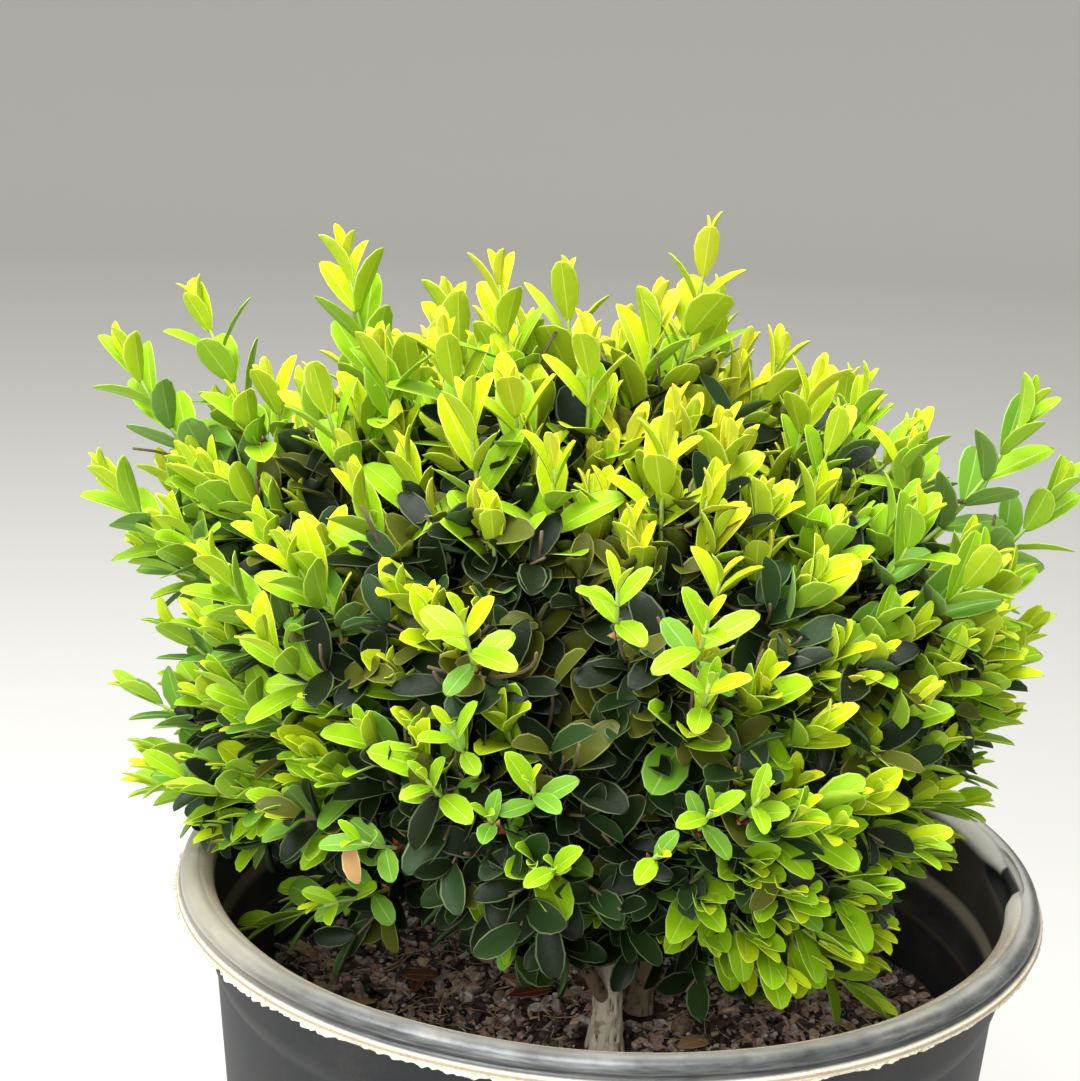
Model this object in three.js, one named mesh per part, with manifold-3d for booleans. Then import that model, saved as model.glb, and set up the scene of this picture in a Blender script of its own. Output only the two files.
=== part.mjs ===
// A boxwood shrub, grown loose and mounded, in its black nursery pot.
// Millimetres, +Z up. The origin is the centre of the pot's flat underside.
// The front of the shrub, with its thin lower middle, faces -Y.

import * as THREE from "three";
import { mergeVertices } from "three/addons/utils/BufferGeometryUtils.js";
import Module from "manifold-3d";

const wasm = await Module();
wasm.setup();

const UP = new THREE.Vector3(0, 0, 1);
const GOLDEN_ANGLE = Math.PI * (3 - Math.sqrt(5));
const GAP = 0.3; // between two pieces that meet

// A trade size 3 nursery pot: a tapered wall with a stacking ledge and a rolled rim.
const POT = {
  height: 241,
  rimRadius: 140,
  throatRadius: 128, // inside the rim
  ledgeTop: 214,
  ledgeBottom: 209,
  ledgeStep: 2.4,
  footRadius: 112,
  footChamfer: 5,
  wall: 2,
  floor: 2.5,
  sides: 36,
};

// The rim's section, from its underside at the wall, out round the lip and back over the bead to the throat:
// inwards from the rim's radius, and down from the top.
const RIM = [
  [10, 5.6],
  [2.4, 6.2],
  [2, 7.6],
  [0, 7.6],
  [0, 5.4],
  [1.6, 4.9],
  [1.4, 3.1],
  [3.2, 0.7],
  [6.2, 0],
  [10, 1.6],
  [12, 3.8],
];

// The arches cut through the foot: their head rises by a share of their half width.
const DRAINS = { count: 8, width: 20, height: 13, headShare: 0.7, depth: 16, outward: 6, below: 4, steps: 6 };

const SOIL = { top: 178, bump: 2.6, rings: 4, levelRadius: 22 };

// Where the stems stand on the soil, and where they fork out.
const STEM_FOOT = SOIL.top + GAP;
const STEMS = {
  front: { foot: [2, -18, STEM_FOOT], bow: [4, -16, 228], tip: [-6, -4, 296], footRadius: 4.9, tipRadius: 2.6 },
  back: { foot: [13, 9, STEM_FOOT], bow: [17, 14, 220], tip: [12, 22, 280], footRadius: 3.8, tipRadius: 2.4 },
};
const FLARE = { share: 0.35, height: 0.09 }; // of the stem's radius and length

// The crown is laid out round its heart. Each mass of foliage is a cone of it: azimuth from +X towards +Y,
// elevation above the level, reach to its outline, and the stem that its bough leaves.
const HEART = new THREE.Vector3(-5, 0, 268);
const HOLLOW = { x: 2, y: 2, top: 284, radius: 40, step: 0.5 }; // where the boughs run: a domed column
const MASSES = {
  crown_top: { azimuth: 225, elevation: 82, reach: 168, stem: "front" },
  upper_left: { azimuth: 180, elevation: 42, reach: 188, stem: "front" },
  upper_front_left: { azimuth: 237, elevation: 46, reach: 168, stem: "front" },
  upper_front_right: { azimuth: 293, elevation: 44, reach: 158, stem: "front" },
  upper_right: { azimuth: 348, elevation: 41, reach: 170, stem: "front" },
  upper_back_right: { azimuth: 52, elevation: 43, reach: 168, stem: "back" },
  upper_back_left: { azimuth: 117, elevation: 43, reach: 177, stem: "back" },
  middle_left: { azimuth: 195, elevation: 2, reach: 154, stem: "front" },
  middle_front: { azimuth: 255, elevation: 7, reach: 142, stem: "front" },
  middle_front_right: { azimuth: 309, elevation: 7, reach: 136, stem: "front" },
  middle_right: { azimuth: 0, elevation: 14, reach: 138, stem: "back" },
  middle_back_right: { azimuth: 58, elevation: 8, reach: 144, stem: "back" },
  middle_back_left: { azimuth: 128, elevation: 7, reach: 148, stem: "back" },
  low_left: { azimuth: 203, elevation: -25, reach: 120, stem: "front" },
  low_front: { azimuth: 266, elevation: -28, reach: 92, stem: "front" },
  low_right: { azimuth: 331, elevation: -25, reach: 106, stem: "front" },
  low_back_right: { azimuth: 32, elevation: -25, reach: 102, stem: "back" },
  low_back_left: { azimuth: 122, elevation: -26, reach: 108, stem: "back" },
};
const SKIRT = 190; // the foliage hangs no lower
const BLEND = 20; // how sharply the outline passes from one mass's reach to the next's
const UNDERSIDE = { from: 0.4, to: 0.75, drawnIn: 0.45 }; // sines of the slope down, and a share of the reach

// The long shoots that stand out of the outline: azimuth, elevation and reach from the heart.
const LEADERS = [
  [180, 40, 210],
  [174, 47, 207],
  [176, 62, 194],
  [205, 76, 176],
  [340, 81, 184],
  [352, 46, 191],
  [356, 37, 182],
  [2, 21, 155],
  [355, 13, 141],
  [186, 31, 193],
  [186, 9, 160],
  [184, -4, 156],
  [190, -26, 134],
  [336, -30, 122],
  [72, 52, 188],
  [118, 32, 186],
  [96, 16, 162],
  [42, 22, 164],
];

const BOUGH = { lowFork: 0.14, highFork: 0.97, baseRadius: 2.4, tipRadius: 1.9, bow: 0.14, dip: -22 };
const TWIG = {
  perMass: 8,
  spread: 28, // degrees from the mass's axis
  topReach: 0.99, // of the outline, for the shoot on the axis
  edgeDrop: 0.07, // and how much less for one at the edge
  chance: 0.05,
  leafRoom: 0.75, // the leaf's share that stands beyond the twig's tip
  stemReach: 0.6,
  stemRadius: 1.9,
  radius: 1.7,
  taper: 0.7,
  sides: 3,
  roots: [0.85, 0.45], // where on the mass's stem the middle and the outermost twig leave it
  bend: 0.55, // where along a twig its line is pulled over,
  arch: 0.12, // and how far, as a share of its length
  pulls: [0, 0.2, 0.4], // how far a twig that leaves its space is pulled to the axis
};
const LEAF = {
  length: 31,
  width: 16,
  thickness: 1.8,
  widest: 0.54,
  sunk: 0.2,
  lean: 50, // of the lowest pair
  leanStep: 9,
  sizeStep: 0.1,
  tipSize: 0.82,
  tipAt: 0.98,
  faceAlong: 0.8, // how far the blades turn from the sky to the twig's tip,
  faceIn: 0.4, // and to the twig
  pairs: [0.1, 0.6],
  turns: 6,
};
const CORE = { reach: 0.7, centre: 0.52, clearOfCell: 2.5, clearOfPot: 7, lump: 0.16 };
const SEAMS = [0.05, 0.03, 0.08, 0.02, 0.01]; // edges shorter than this, where leaf meets twig, are closed up
const CELL_MARGIN = 0.5; // from a mass's sides to the planes that part it from its neighbours
const CLEAR_OF_LIMB = 1;
const CLEAR_OF_POT = 2;

const COLOURS = {
  pot: 0x23262b,
  soil: 0x3a2a20,
  bark: 0x9c8a72,
  leaves: 0x84a83a,
};

const radians = THREE.MathUtils.degToRad;
const lerp = THREE.MathUtils.lerp;
const smooth = THREE.MathUtils.smoothstep;

// A repeatable number from 0 to 1 for a whole number n.
function scatter(n) {
  const s = Math.abs(Math.sin(n * 12.9898 + 4.1414) * 43758.5453);
  return s - Math.floor(s);
}

function heading(azimuth, elevation) {
  const a = radians(azimuth);
  const e = radians(elevation);
  return new THREE.Vector3(Math.cos(a) * Math.cos(e), Math.sin(a) * Math.cos(e), Math.sin(e));
}

function solidOf(geometry) {
  const bare = geometry.clone();
  bare.deleteAttribute("normal");
  bare.deleteAttribute("uv");
  const merged = mergeVertices(bare, 1e-4);
  return new wasm.Manifold(
    new wasm.Mesh({
      numProp: 3,
      vertProperties: merged.attributes.position.array,
      triVerts: new Uint32Array(merged.index.array),
    }),
  );
}

function geometryOf(solid) {
  const mesh = solid.getMesh();
  const geometry = new THREE.BufferGeometry();
  geometry.setAttribute("position", new THREE.BufferAttribute(mesh.vertProperties, 3));
  geometry.setIndex(new THREE.BufferAttribute(mesh.triVerts, 1));
  geometry.computeVertexNormals();
  return geometry;
}

// True where the skin stays closed once corners within a thousandth of a millimetre are taken as one.
function closedSkin(solid) {
  const bare = geometryOf(solid).toNonIndexed();
  bare.deleteAttribute("normal");
  const corners = mergeVertices(bare, 1e-3).index.array;
  const uses = new Map();
  for (let i = 0; i < corners.length; i += 3) {
    const [a, b, c] = corners.slice(i, i + 3);
    if (a === b || b === c || c === a) continue;
    for (const side of [[a, b], [b, c], [c, a]]) {
      const key = Math.min(...side) + "-" + Math.max(...side);
      uses.set(key, (uses.get(key) ?? 0) + 1);
    }
  }
  return [...uses.values()].every((count) => count === 2);
}

// The wood with its leaves fused on and its shortest edges closed up, by the first length that leaves the
// skin closed. Where none does, the leaf whose root is to blame is left off.
function fused(wood, leaves) {
  for (let off = -1; off < leaves.length; off++) {
    const kept = leaves.filter((_, i) => i !== off);
    const whole = [...wood, ...kept].reduce((sum, piece) => sum.add(piece)).asOriginal();
    for (const seam of SEAMS) {
      const piece = wholePiece(whole.simplify(seam));
      if (closedSkin(piece)) return piece;
    }
  }
  throw new Error("the skin stays open whichever leaf is left off");
}

// The outer shell of the largest piece, so that scraps go and sealed hollows fill.
function wholePiece(solid) {
  return solid.decompose().reduce((best, piece) => (piece.volume() > best.volume() ? piece : best));
}

// Moves every vertex of a geometry by a function from Vector3 to Vector3.
function shaped(geometry, move) {
  const position = geometry.attributes.position;
  const point = new THREE.Vector3();
  for (let i = 0; i < position.count; i++) {
    const moved = move(point.fromBufferAttribute(position, i));
    position.setXYZ(i, moved.x, moved.y, moved.z);
  }
  return geometry;
}

// A round limb of changing radius along a curve: a unit cylinder bent to it.
function limb(curve, radiusAt, sides, steps) {
  const { normals, binormals } = curve.computeFrenetFrames(steps, false);
  return shaped(new THREE.CylinderGeometry(1, 1, 1, sides, steps), (p) => {
    const step = Math.round((p.y + 0.5) * steps);
    const radius = radiusAt(step / steps);
    return curve
      .getPointAt(step / steps)
      .addScaledVector(normals[step], p.z * radius)
      .addScaledVector(binormals[step], p.x * radius);
  });
}

// The pot

function potInnerRadius(z) {
  if (z > POT.ledgeTop) return POT.throatRadius;
  const ledge = POT.throatRadius - POT.ledgeStep;
  if (z > POT.ledgeBottom) {
    return lerp(ledge, POT.throatRadius, (z - POT.ledgeBottom) / (POT.ledgeTop - POT.ledgeBottom));
  }
  return lerp(POT.footRadius - POT.wall, ledge, z / POT.ledgeBottom);
}

function makePot() {
  const { height, rimRadius, throatRadius, wall } = POT;
  const outer = (z) => potInnerRadius(z) + wall;
  const profile = [
    [0, 0],
    [POT.footRadius - POT.footChamfer, 0],
    [POT.footRadius, POT.footChamfer],
    [outer(POT.ledgeBottom - wall), POT.ledgeBottom - wall],
    [outer(height), POT.ledgeTop - wall],
    ...RIM.map(([inwards, down]) => [rimRadius - inwards, height - down]),
    [throatRadius, POT.ledgeTop],
    [potInnerRadius(POT.ledgeBottom), POT.ledgeBottom],
    [potInnerRadius(POT.floor), POT.floor],
    [0, POT.floor],
  ];
  const points = profile.map(([r, z]) => new THREE.Vector2(r, z));
  let pot = solidOf(new THREE.LatheGeometry(points, POT.sides).rotateX(Math.PI / 2));
  for (let i = 0; i < DRAINS.count; i++) {
    pot = pot.subtract(solidOf(drainCutter((2 * Math.PI * (i + 0.5)) / DRAINS.count)));
  }
  return wholePiece(pot);
}

// An arch through the foot's corner: a low wall opening under a round head.
function drainCutter(angle) {
  const { width, height, headShare, depth, outward, below, steps } = DRAINS;
  const half = width / 2;
  const spring = height - half * headShare;
  const arch = new THREE.Shape();
  arch.moveTo(-half, -below);
  arch.lineTo(half, -below);
  arch.lineTo(half, spring);
  arch.absellipse(0, spring, half, half * headShare, 0, Math.PI, false);
  arch.closePath();
  return new THREE.ExtrudeGeometry(arch, { depth, bevelEnabled: false, curveSegments: steps })
    .rotateX(Math.PI / 2)
    .rotateZ(-Math.PI / 2)
    .translate(POT.footRadius + outward - depth, 0, 0)
    .rotateZ(angle);
}

// The potting mix: it fills the pot to SOIL.top, uneven but level where the stems stand.
function soilHeight(x, y) {
  const waves = Math.sin(x * 0.071 + 1.3) * Math.cos(y * 0.083) + 0.6 * Math.sin((x - y) * 0.12);
  const away = Math.min(...Object.values(STEMS).map(({ foot }) => Math.hypot(x - foot[0], y - foot[1])));
  return SOIL.top + (SOIL.bump * waves - 1) * smooth(away, SOIL.levelRadius * 0.6, SOIL.levelRadius * 1.6);
}

function makeSoil() {
  const profile = [new THREE.Vector2(0, POT.floor + GAP)];
  profile.push(new THREE.Vector2(potInnerRadius(POT.floor) - 2 * GAP, POT.floor + GAP));
  const edge = potInnerRadius(SOIL.top - SOIL.bump) - 2 * GAP;
  for (let ring = SOIL.rings; ring >= 0; ring--) {
    profile.push(new THREE.Vector2((edge * ring) / SOIL.rings, SOIL.top));
  }
  const fill = new THREE.LatheGeometry(profile, POT.sides).rotateX(Math.PI / 2);
  return solidOf(shaped(fill, (p) => (p.z < SOIL.top - 1 ? p : p.setZ(soilHeight(p.x, p.y)))));
}

// The stems and boughs

function stemCurve({ foot, bow, tip }) {
  return new THREE.QuadraticBezierCurve3(
    new THREE.Vector3(...foot),
    new THREE.Vector3(...bow),
    new THREE.Vector3(...tip),
  );
}

function stemRadius({ footRadius, tipRadius }, t) {
  return lerp(footRadius, tipRadius, t) * (1 + FLARE.share * Math.exp(-t / FLARE.height));
}

function makeStem(stem, extra = 0) {
  const solid = limb(stemCurve(stem), (t) => stemRadius(stem, t) + extra, 10, 9);
  return solidOf(shaped(solid, (p) => (p.z < SOIL.top + 1 ? p.setZ(SOIL.top + GAP) : p)));
}

// How far a point stands outside the hollow.
function beyondHollow({ x, y, z }) {
  return Math.hypot(x - HOLLOW.x, y - HOLLOW.y, Math.max(z - HOLLOW.top, 0)) - HOLLOW.radius;
}

// A bough's line runs from its fork to where the mass's direction leaves the hollow, bowed a little; low
// masses are entered from underneath. The boughs of a stem fork one above the other, as their masses stand.
function boughLine(mass) {
  const height = (other) => other.elevation + other.index / 100;
  const siblings = masses.filter((other) => other.stem === mass.stem);
  const rank = siblings.filter((other) => height(other) < height(mass)).length;
  const share = lerp(BOUGH.lowFork, BOUGH.highFork, rank / (siblings.length - 1));
  const fork = stemCurve(STEMS[mass.stem]).getPointAt(share);
  const way = heading(mass.azimuth, mass.elevation + (mass.elevation < 0 ? BOUGH.dip : 0));
  const end = HEART.clone();
  while (beyondHollow(end) < 0) end.addScaledVector(way, HOLLOW.step);
  const bow = fork.clone().lerp(end, 0.5).addScaledVector(UP, -BOUGH.bow * fork.distanceTo(end));
  return new THREE.QuadraticBezierCurve3(fork, bow, end);
}

function makeBough(mass, stemsInflated, earlier) {
  const tube = limb(mass.bough, (t) => lerp(BOUGH.baseRadius, BOUGH.tipRadius, t), 6, 4);
  let solid = solidOf(tube);
  for (const other of [...stemsInflated, ...earlier]) solid = solid.subtract(other);
  return wholePiece(solid);
}

// The foliage

// The crown's outline in a direction from its heart: the reaches of the masses, each weighed by how near it
// lies, and drawn in towards the stems underneath.
function reachAt(way) {
  let sum = 0;
  let weights = 0;
  for (const { axis, reach } of masses) {
    const weight = Math.exp(BLEND * (way.dot(axis) - 1));
    sum += weight * reach;
    weights += weight;
  }
  return (sum / weights) * (1 - UNDERSIDE.drawnIn * smooth(-way.z, UNDERSIDE.from, UNDERSIDE.to));
}

// True where a point is in a mass's own space: its cone beyond the hollow, clear of pot and soil.
function inOwnSpace(point, mass) {
  const fromHeart = point.clone().sub(HEART);
  if (beyondHollow(point) < 1) return false;
  return mass.walls.every((wall) => fromHeart.dot(wall) > CELL_MARGIN) && clearOfPot(point, CLEAR_OF_POT);
}

function clearOfPot({ x, y, z }, margin) {
  if (z > POT.height + margin) return true;
  return Math.hypot(x, y) < potInnerRadius(z) - margin && z > SKIRT + margin;
}

// True where a straight piece from a to b, of that half width, is clear of every stem and bough.
function clearOfLimbs(a, b, halfWidth, limbs) {
  const line = new THREE.Line3(a, b);
  const nearest = new THREE.Vector3();
  return limbs.every(({ point, radius }) => {
    line.closestPointToPoint(point, true, nearest);
    return nearest.distanceTo(point) > radius + halfWidth + CLEAR_OF_LIMB;
  });
}

// The outline of a mass along its k-th shoot: a sunflower pattern of directions round its axis.
function shootTips(mass) {
  const side = new THREE.Vector3().crossVectors(UP, mass.axis).normalize();
  const over = new THREE.Vector3().crossVectors(mass.axis, side);
  const tips = [];
  for (let k = 0; k < TWIG.perMass; k++) {
    const share = Math.sqrt((k + 0.35) / TWIG.perMass);
    const tilt = Math.tan(radians(TWIG.spread * share));
    const turn = k * GOLDEN_ANGLE + mass.index;
    const way = mass.axis.clone();
    way.addScaledVector(side, tilt * Math.cos(turn)).addScaledVector(over, tilt * Math.sin(turn)).normalize();
    const drop = TWIG.edgeDrop * share * share + TWIG.chance * scatter(mass.index * 31 + k);
    tips.push({ way, reach: reachAt(way) * (TWIG.topReach - drop), share });
  }
  for (const [azimuth, elevation, reach] of LEADERS) {
    const way = heading(azimuth, elevation);
    if (mass.walls.every((wall) => way.dot(wall) > 0)) {
      tips.push({ way, reach, share: way.angleTo(mass.axis) / radians(TWIG.spread) });
    }
  }
  return tips;
}

// A leaf: a thin four-sided blade from its root along its heading, ridged on top from root to tip and below
// from side to side.
function leafGeometry({ root, along, face, size }) {
  const across = new THREE.Vector3().crossVectors(face, along).normalize();
  const out = new THREE.Vector3().crossVectors(along, across);
  const at = (reach, aside, rise) =>
    root
      .clone()
      .addScaledVector(along, reach * LEAF.length * size)
      .addScaledVector(across, (aside * LEAF.width * size) / 2)
      .addScaledVector(out, (rise * LEAF.thickness) / 2);
  const corners = [at(0, 0, 1), at(1, 0, 1), at(LEAF.widest, 1, -1), at(LEAF.widest, -1, -1)];
  const faces = [0, 1, 2, 0, 3, 1, 0, 2, 3, 1, 3, 2];
  const geometry = new THREE.BufferGeometry();
  geometry.setAttribute("position", new THREE.Float32BufferAttribute(corners.flatMap((c) => c.toArray()), 3));
  geometry.setIndex(faces);
  return geometry;
}

function vertices(geometry) {
  const position = geometry.attributes.position;
  const corner = (_, i) => new THREE.Vector3().fromBufferAttribute(position, i);
  return Array.from({ length: position.count }, corner);
}

// The leaves of one twig: crossed pairs along its bare length, the first turned as asked, and one at its tip.
function* leavesOf({ curve, bareFrom }, firstTurn) {
  const { pairs, lean, leanStep, sizeStep, tipSize, tipAt, faceAlong, faceIn, sunk } = LEAF;
  for (let pair = 0; pair <= pairs.length; pair++) {
    const last = pair === pairs.length;
    const t = last ? tipAt : lerp(bareFrom, 1, pairs[pair]);
    const tangent = curve.getTangentAt(t);
    const side = new THREE.Vector3().crossVectors(UP, tangent).normalize();
    const over = new THREE.Vector3().crossVectors(tangent, side);
    const turn = firstTurn + (pair * Math.PI) / 2;
    const offset = side.multiplyScalar(Math.cos(turn)).addScaledVector(over, Math.sin(turn));
    for (const sign of last ? [0] : [1, -1]) {
      const angle = radians(last ? 0 : lean - leanStep * pair);
      const along = tangent.clone().multiplyScalar(Math.cos(angle));
      along.addScaledVector(offset, sign * Math.sin(angle)).normalize();
      const face = UP.clone().addScaledVector(tangent, faceAlong);
      face.addScaledVector(offset, -faceIn * sign).normalize();
      const size = last ? tipSize : 1 - sizeStep * pair;
      const root = curve.getPointAt(t).addScaledVector(along, -sunk);
      yield { root, along, face, size };
    }
  }
}

// The dense middle of a mass: an icosahedron pushed out to the walls of the mass's own space.
function makeCore(mass) {
  const near = mass.bough.getPoint(1).sub(HEART).dot(mass.axis);
  const centre = HEART.clone().addScaledVector(mass.axis, lerp(near, mass.reach * CORE.reach, CORE.centre));
  const roomy = (p) => {
    const fromHeart = p.clone().sub(HEART);
    return (
      fromHeart.length() < reachAt(fromHeart.clone().normalize()) * CORE.reach &&
      beyondHollow(p) > CORE.clearOfCell &&
      mass.walls.every((wall) => fromHeart.dot(wall) > CORE.clearOfCell) &&
      clearOfPot(p, CORE.clearOfPot)
    );
  };
  let corner = 0;
  const radiusOf = new Map();
  return shaped(new THREE.IcosahedronGeometry(1, 1), (p) => {
    const way = p.clone().normalize();
    const key = way.toArray().map((v) => v.toFixed(3)).join();
    if (!radiusOf.has(key)) {
      let radius = 2;
      while (radius < mass.reach && roomy(centre.clone().addScaledVector(way, radius + 1))) radius += 1;
      radiusOf.set(key, radius * (1 - CORE.lump * scatter(mass.index * 57 + corner++)));
    }
    return centre.clone().addScaledVector(way, radiusOf.get(key));
  });
}

// True where a leaf keeps to its mass's space, clear of the limbs and of the obstacles.
function leafFits(leaf, solid, mass, limbs, obstacles) {
  const end = leaf.root.clone().addScaledVector(leaf.along, LEAF.length * leaf.size);
  if (!clearOfLimbs(leaf.root, end, (LEAF.width * leaf.size) / 2, limbs)) return false;
  if (!vertices(leafGeometry(leaf)).every((p) => inOwnSpace(p, mass))) return false;
  return obstacles.every((other) => other.intersect(solid).isEmpty());
}

// The mass's own stem, which goes on from its bough 0.3 mm clear of it.
function massStem(mass) {
  const onward = mass.bough.getTangentAt(1);
  const start = mass.bough.getPoint(1).addScaledVector(onward, GAP);
  const end = HEART.clone().addScaledVector(mass.axis, mass.reach * TWIG.stemReach);
  const bend = start.clone().addScaledVector(onward, start.distanceTo(end) * 0.5);
  return new THREE.QuadraticBezierCurve3(start, bend, end);
}

// The twigs of a mass, pulled in towards its axis where they would leave its space: each one's line, its
// solid, and how far along it comes out of the core.
function makeTwigs(mass, stem) {
  const twigs = [];
  for (const shoot of shootTips(mass)) {
    for (const pull of TWIG.pulls) {
      const way = shoot.way.clone().lerp(mass.axis, pull).normalize();
      const tip = HEART.clone().addScaledVector(way, shoot.reach - LEAF.length * TWIG.leafRoom);
      const root = stem.getPointAt(lerp(...TWIG.roots, Math.min(shoot.share, 1)));
      const middle = root.clone().lerp(tip, TWIG.bend);
      middle.addScaledVector(mass.axis, root.distanceTo(tip) * TWIG.arch);
      const curve = new THREE.QuadraticBezierCurve3(root, middle, tip);
      const geometry = limb(curve, (t) => TWIG.radius * lerp(1, TWIG.taper, t), TWIG.sides, 2);
      if (!vertices(geometry).every((p) => inOwnSpace(p, mass))) continue;
      const coreReach = reachAt(way) * CORE.reach;
      let bareFrom = 0.2;
      while (bareFrom < 0.8 && curve.getPointAt(bareFrom).distanceTo(HEART) < coreReach) bareFrom += 0.02;
      twigs.push({ curve, bareFrom, solid: solidOf(geometry) });
      break;
    }
  }
  return twigs;
}

function makeFoliage(mass, limbs) {
  const core = solidOf(makeCore(mass));
  const stem = massStem(mass);
  const twigs = makeTwigs(mass, stem);
  const leaves = [];
  twigs.forEach((twig, k) => {
    const others = twigs.filter((other) => other !== twig).map((other) => other.solid);
    const obstacles = [core, ...leaves, ...others];
    let best = [];
    for (let i = 0; i < LEAF.turns; i++) {
      const turn = (scatter(mass.index * 17 + k) + i / LEAF.turns) * Math.PI;
      const fitting = [];
      for (const leaf of leavesOf(twig, turn)) {
        const solid = solidOf(leafGeometry(leaf));
        if (leafFits(leaf, solid, mass, limbs, obstacles)) fitting.push(solid);
      }
      if (fitting.length > best.length) best = fitting;
    }
    leaves.push(...best);
  });
  const stemSolid = solidOf(limb(stem, (t) => lerp(TWIG.stemRadius, TWIG.radius, t), 5, 4));
  return fused([core, stemSolid, ...twigs.map((twig) => twig.solid)], leaves);
}

// The shrub

function material(colour, roughness) {
  return new THREE.MeshStandardMaterial({ color: colour, roughness, metalness: 0 });
}

const looks = {
  pot: material(COLOURS.pot, 0.45),
  soil: material(COLOURS.soil, 0.95),
  bark: material(COLOURS.bark, 0.9),
  leaves: material(COLOURS.leaves, 0.5),
};

const shrub = new THREE.Group();
shrub.name = "boxwood_in_pot";

function addPiece(name, solid, look) {
  const mesh = new THREE.Mesh(geometryOf(solid), look);
  mesh.name = name;
  shrub.add(mesh);
}

const masses = Object.entries(MASSES).map(([name, mass], index) => ({ ...mass, name, index }));
for (const mass of masses) mass.axis = heading(mass.azimuth, mass.elevation);
for (const mass of masses) {
  const others = masses.filter((other) => other !== mass);
  mass.walls = others.map((other) => mass.axis.clone().sub(other.axis).normalize());
  mass.bough = boughLine(mass);
}

addPiece("pot", makePot(), looks.pot);
addPiece("potting_mix", makeSoil(), looks.soil);

const stems = Object.values(STEMS);
const stemsInflated = stems.map((stem) => makeStem(stem, GAP));
addPiece("stem_front", makeStem(STEMS.front), looks.bark);
addPiece("stem_back", makeStem(STEMS.back).subtract(stemsInflated[0]), looks.bark);

// Points along the stems and boughs, which the leaves keep clear of.
const evenly = (count) => Array.from({ length: count }, (_, i) => i / (count - 1));
const limbs = [];
for (const stem of stems) {
  for (const t of evenly(11)) {
    limbs.push({ point: stemCurve(stem).getPointAt(t), radius: stemRadius(stem, t) });
  }
}
const inflatedBoughs = [];
for (const mass of masses) {
  const solid = makeBough(mass, stemsInflated, inflatedBoughs);
  addPiece(`bough_${mass.name}`, solid, looks.bark);
  const wider = (t) => lerp(BOUGH.baseRadius, BOUGH.tipRadius, t) + GAP;
  inflatedBoughs.push(solidOf(limb(mass.bough, wider, 6, 4)));
  for (const t of evenly(6)) {
    limbs.push({ point: mass.bough.getPointAt(t), radius: BOUGH.baseRadius });
  }
}

for (const mass of masses) addPiece(`foliage_${mass.name}`, makeFoliage(mass, limbs), looks.leaves);

export default shrub;
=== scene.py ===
# A boxwood shrub in its black nursery pot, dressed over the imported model. Metres, +Z up, the front faces -Y.
import math

import bpy
import numpy as np
from mathutils import Matrix, Vector


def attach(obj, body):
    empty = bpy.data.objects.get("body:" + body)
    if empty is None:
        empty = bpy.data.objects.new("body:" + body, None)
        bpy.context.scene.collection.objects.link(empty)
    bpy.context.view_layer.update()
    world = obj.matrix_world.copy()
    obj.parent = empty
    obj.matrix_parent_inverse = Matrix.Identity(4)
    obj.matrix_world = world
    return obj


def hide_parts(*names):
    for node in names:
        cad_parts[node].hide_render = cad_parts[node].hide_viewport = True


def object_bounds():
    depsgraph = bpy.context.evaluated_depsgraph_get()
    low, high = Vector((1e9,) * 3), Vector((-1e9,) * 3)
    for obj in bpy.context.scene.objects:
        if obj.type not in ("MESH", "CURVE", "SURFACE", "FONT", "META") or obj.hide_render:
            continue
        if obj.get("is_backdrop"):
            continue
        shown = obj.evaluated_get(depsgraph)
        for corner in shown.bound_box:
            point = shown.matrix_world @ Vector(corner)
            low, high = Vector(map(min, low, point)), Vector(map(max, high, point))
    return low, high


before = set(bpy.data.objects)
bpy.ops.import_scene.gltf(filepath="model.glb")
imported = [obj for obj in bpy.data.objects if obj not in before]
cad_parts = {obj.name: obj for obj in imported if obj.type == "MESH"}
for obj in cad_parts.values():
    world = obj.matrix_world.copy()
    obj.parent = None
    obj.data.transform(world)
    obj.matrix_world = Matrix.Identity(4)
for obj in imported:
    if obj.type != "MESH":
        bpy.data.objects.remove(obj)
cadBox = [list(corner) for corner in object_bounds()]

mm = 0.001
up = np.array([0.0, 0.0, 1.0])
aslant = (0.31, 0.22, 0.92)  # crossed with a shoot's direction, it gives one across the shoot
goldenAngle = math.pi * (3 - math.sqrt(5))
dice = np.random.default_rng(11)


# Small sums on arrays of vectors, whose last axis is x, y, z.
def lengths(v):
    return np.linalg.norm(v, axis=-1)


def unit(v):
    return v / np.maximum(lengths(v)[..., None], 1e-12)


def dot(a, b):
    return np.sum(a * b, axis=-1, keepdims=True)


def blend(a, b, share):
    return a + (b - a) * share


def smooth(x, low, high):  # 3t² - 2t³, where t runs from 0 at low to 1 at high
    t = np.clip((x - low) / (high - low), 0, 1)
    return t * t * (3 - 2 * t)


def polar(r, a, z=0.0):  # r cos a, r sin a, z
    return np.stack(np.broadcast_arrays(r * np.cos(a), r * np.sin(a), z), -1)


def heading(azimuth, elevation):
    e = np.radians(elevation)
    return polar(np.cos(e), np.radians(azimuth), np.sin(e))


def scatter(n):  # the fraction of |sin(12.9898 n + 4.1414)| · 43758.5453, as in the source
    return np.abs(np.sin(np.asarray(n, float) * 12.9898 + 4.1414) * 43758.5453) % 1


def lumps(points, size, seed):
    # Random numbers from 0 to 1 on a lattice of that size, passed smoothly from corner to corner.
    p = points / size
    cell = np.floor(p)
    f = p - cell
    f = f * f * (3 - 2 * f)
    total = 0
    for corner in np.ndindex(2, 2, 2):
        share = np.prod(np.where(corner, f, 1 - f), axis=-1)
        total = total + share * scatter((cell + corner) @ np.array([1.37, 5.713, 11.191]) + seed)
    return total


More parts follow.
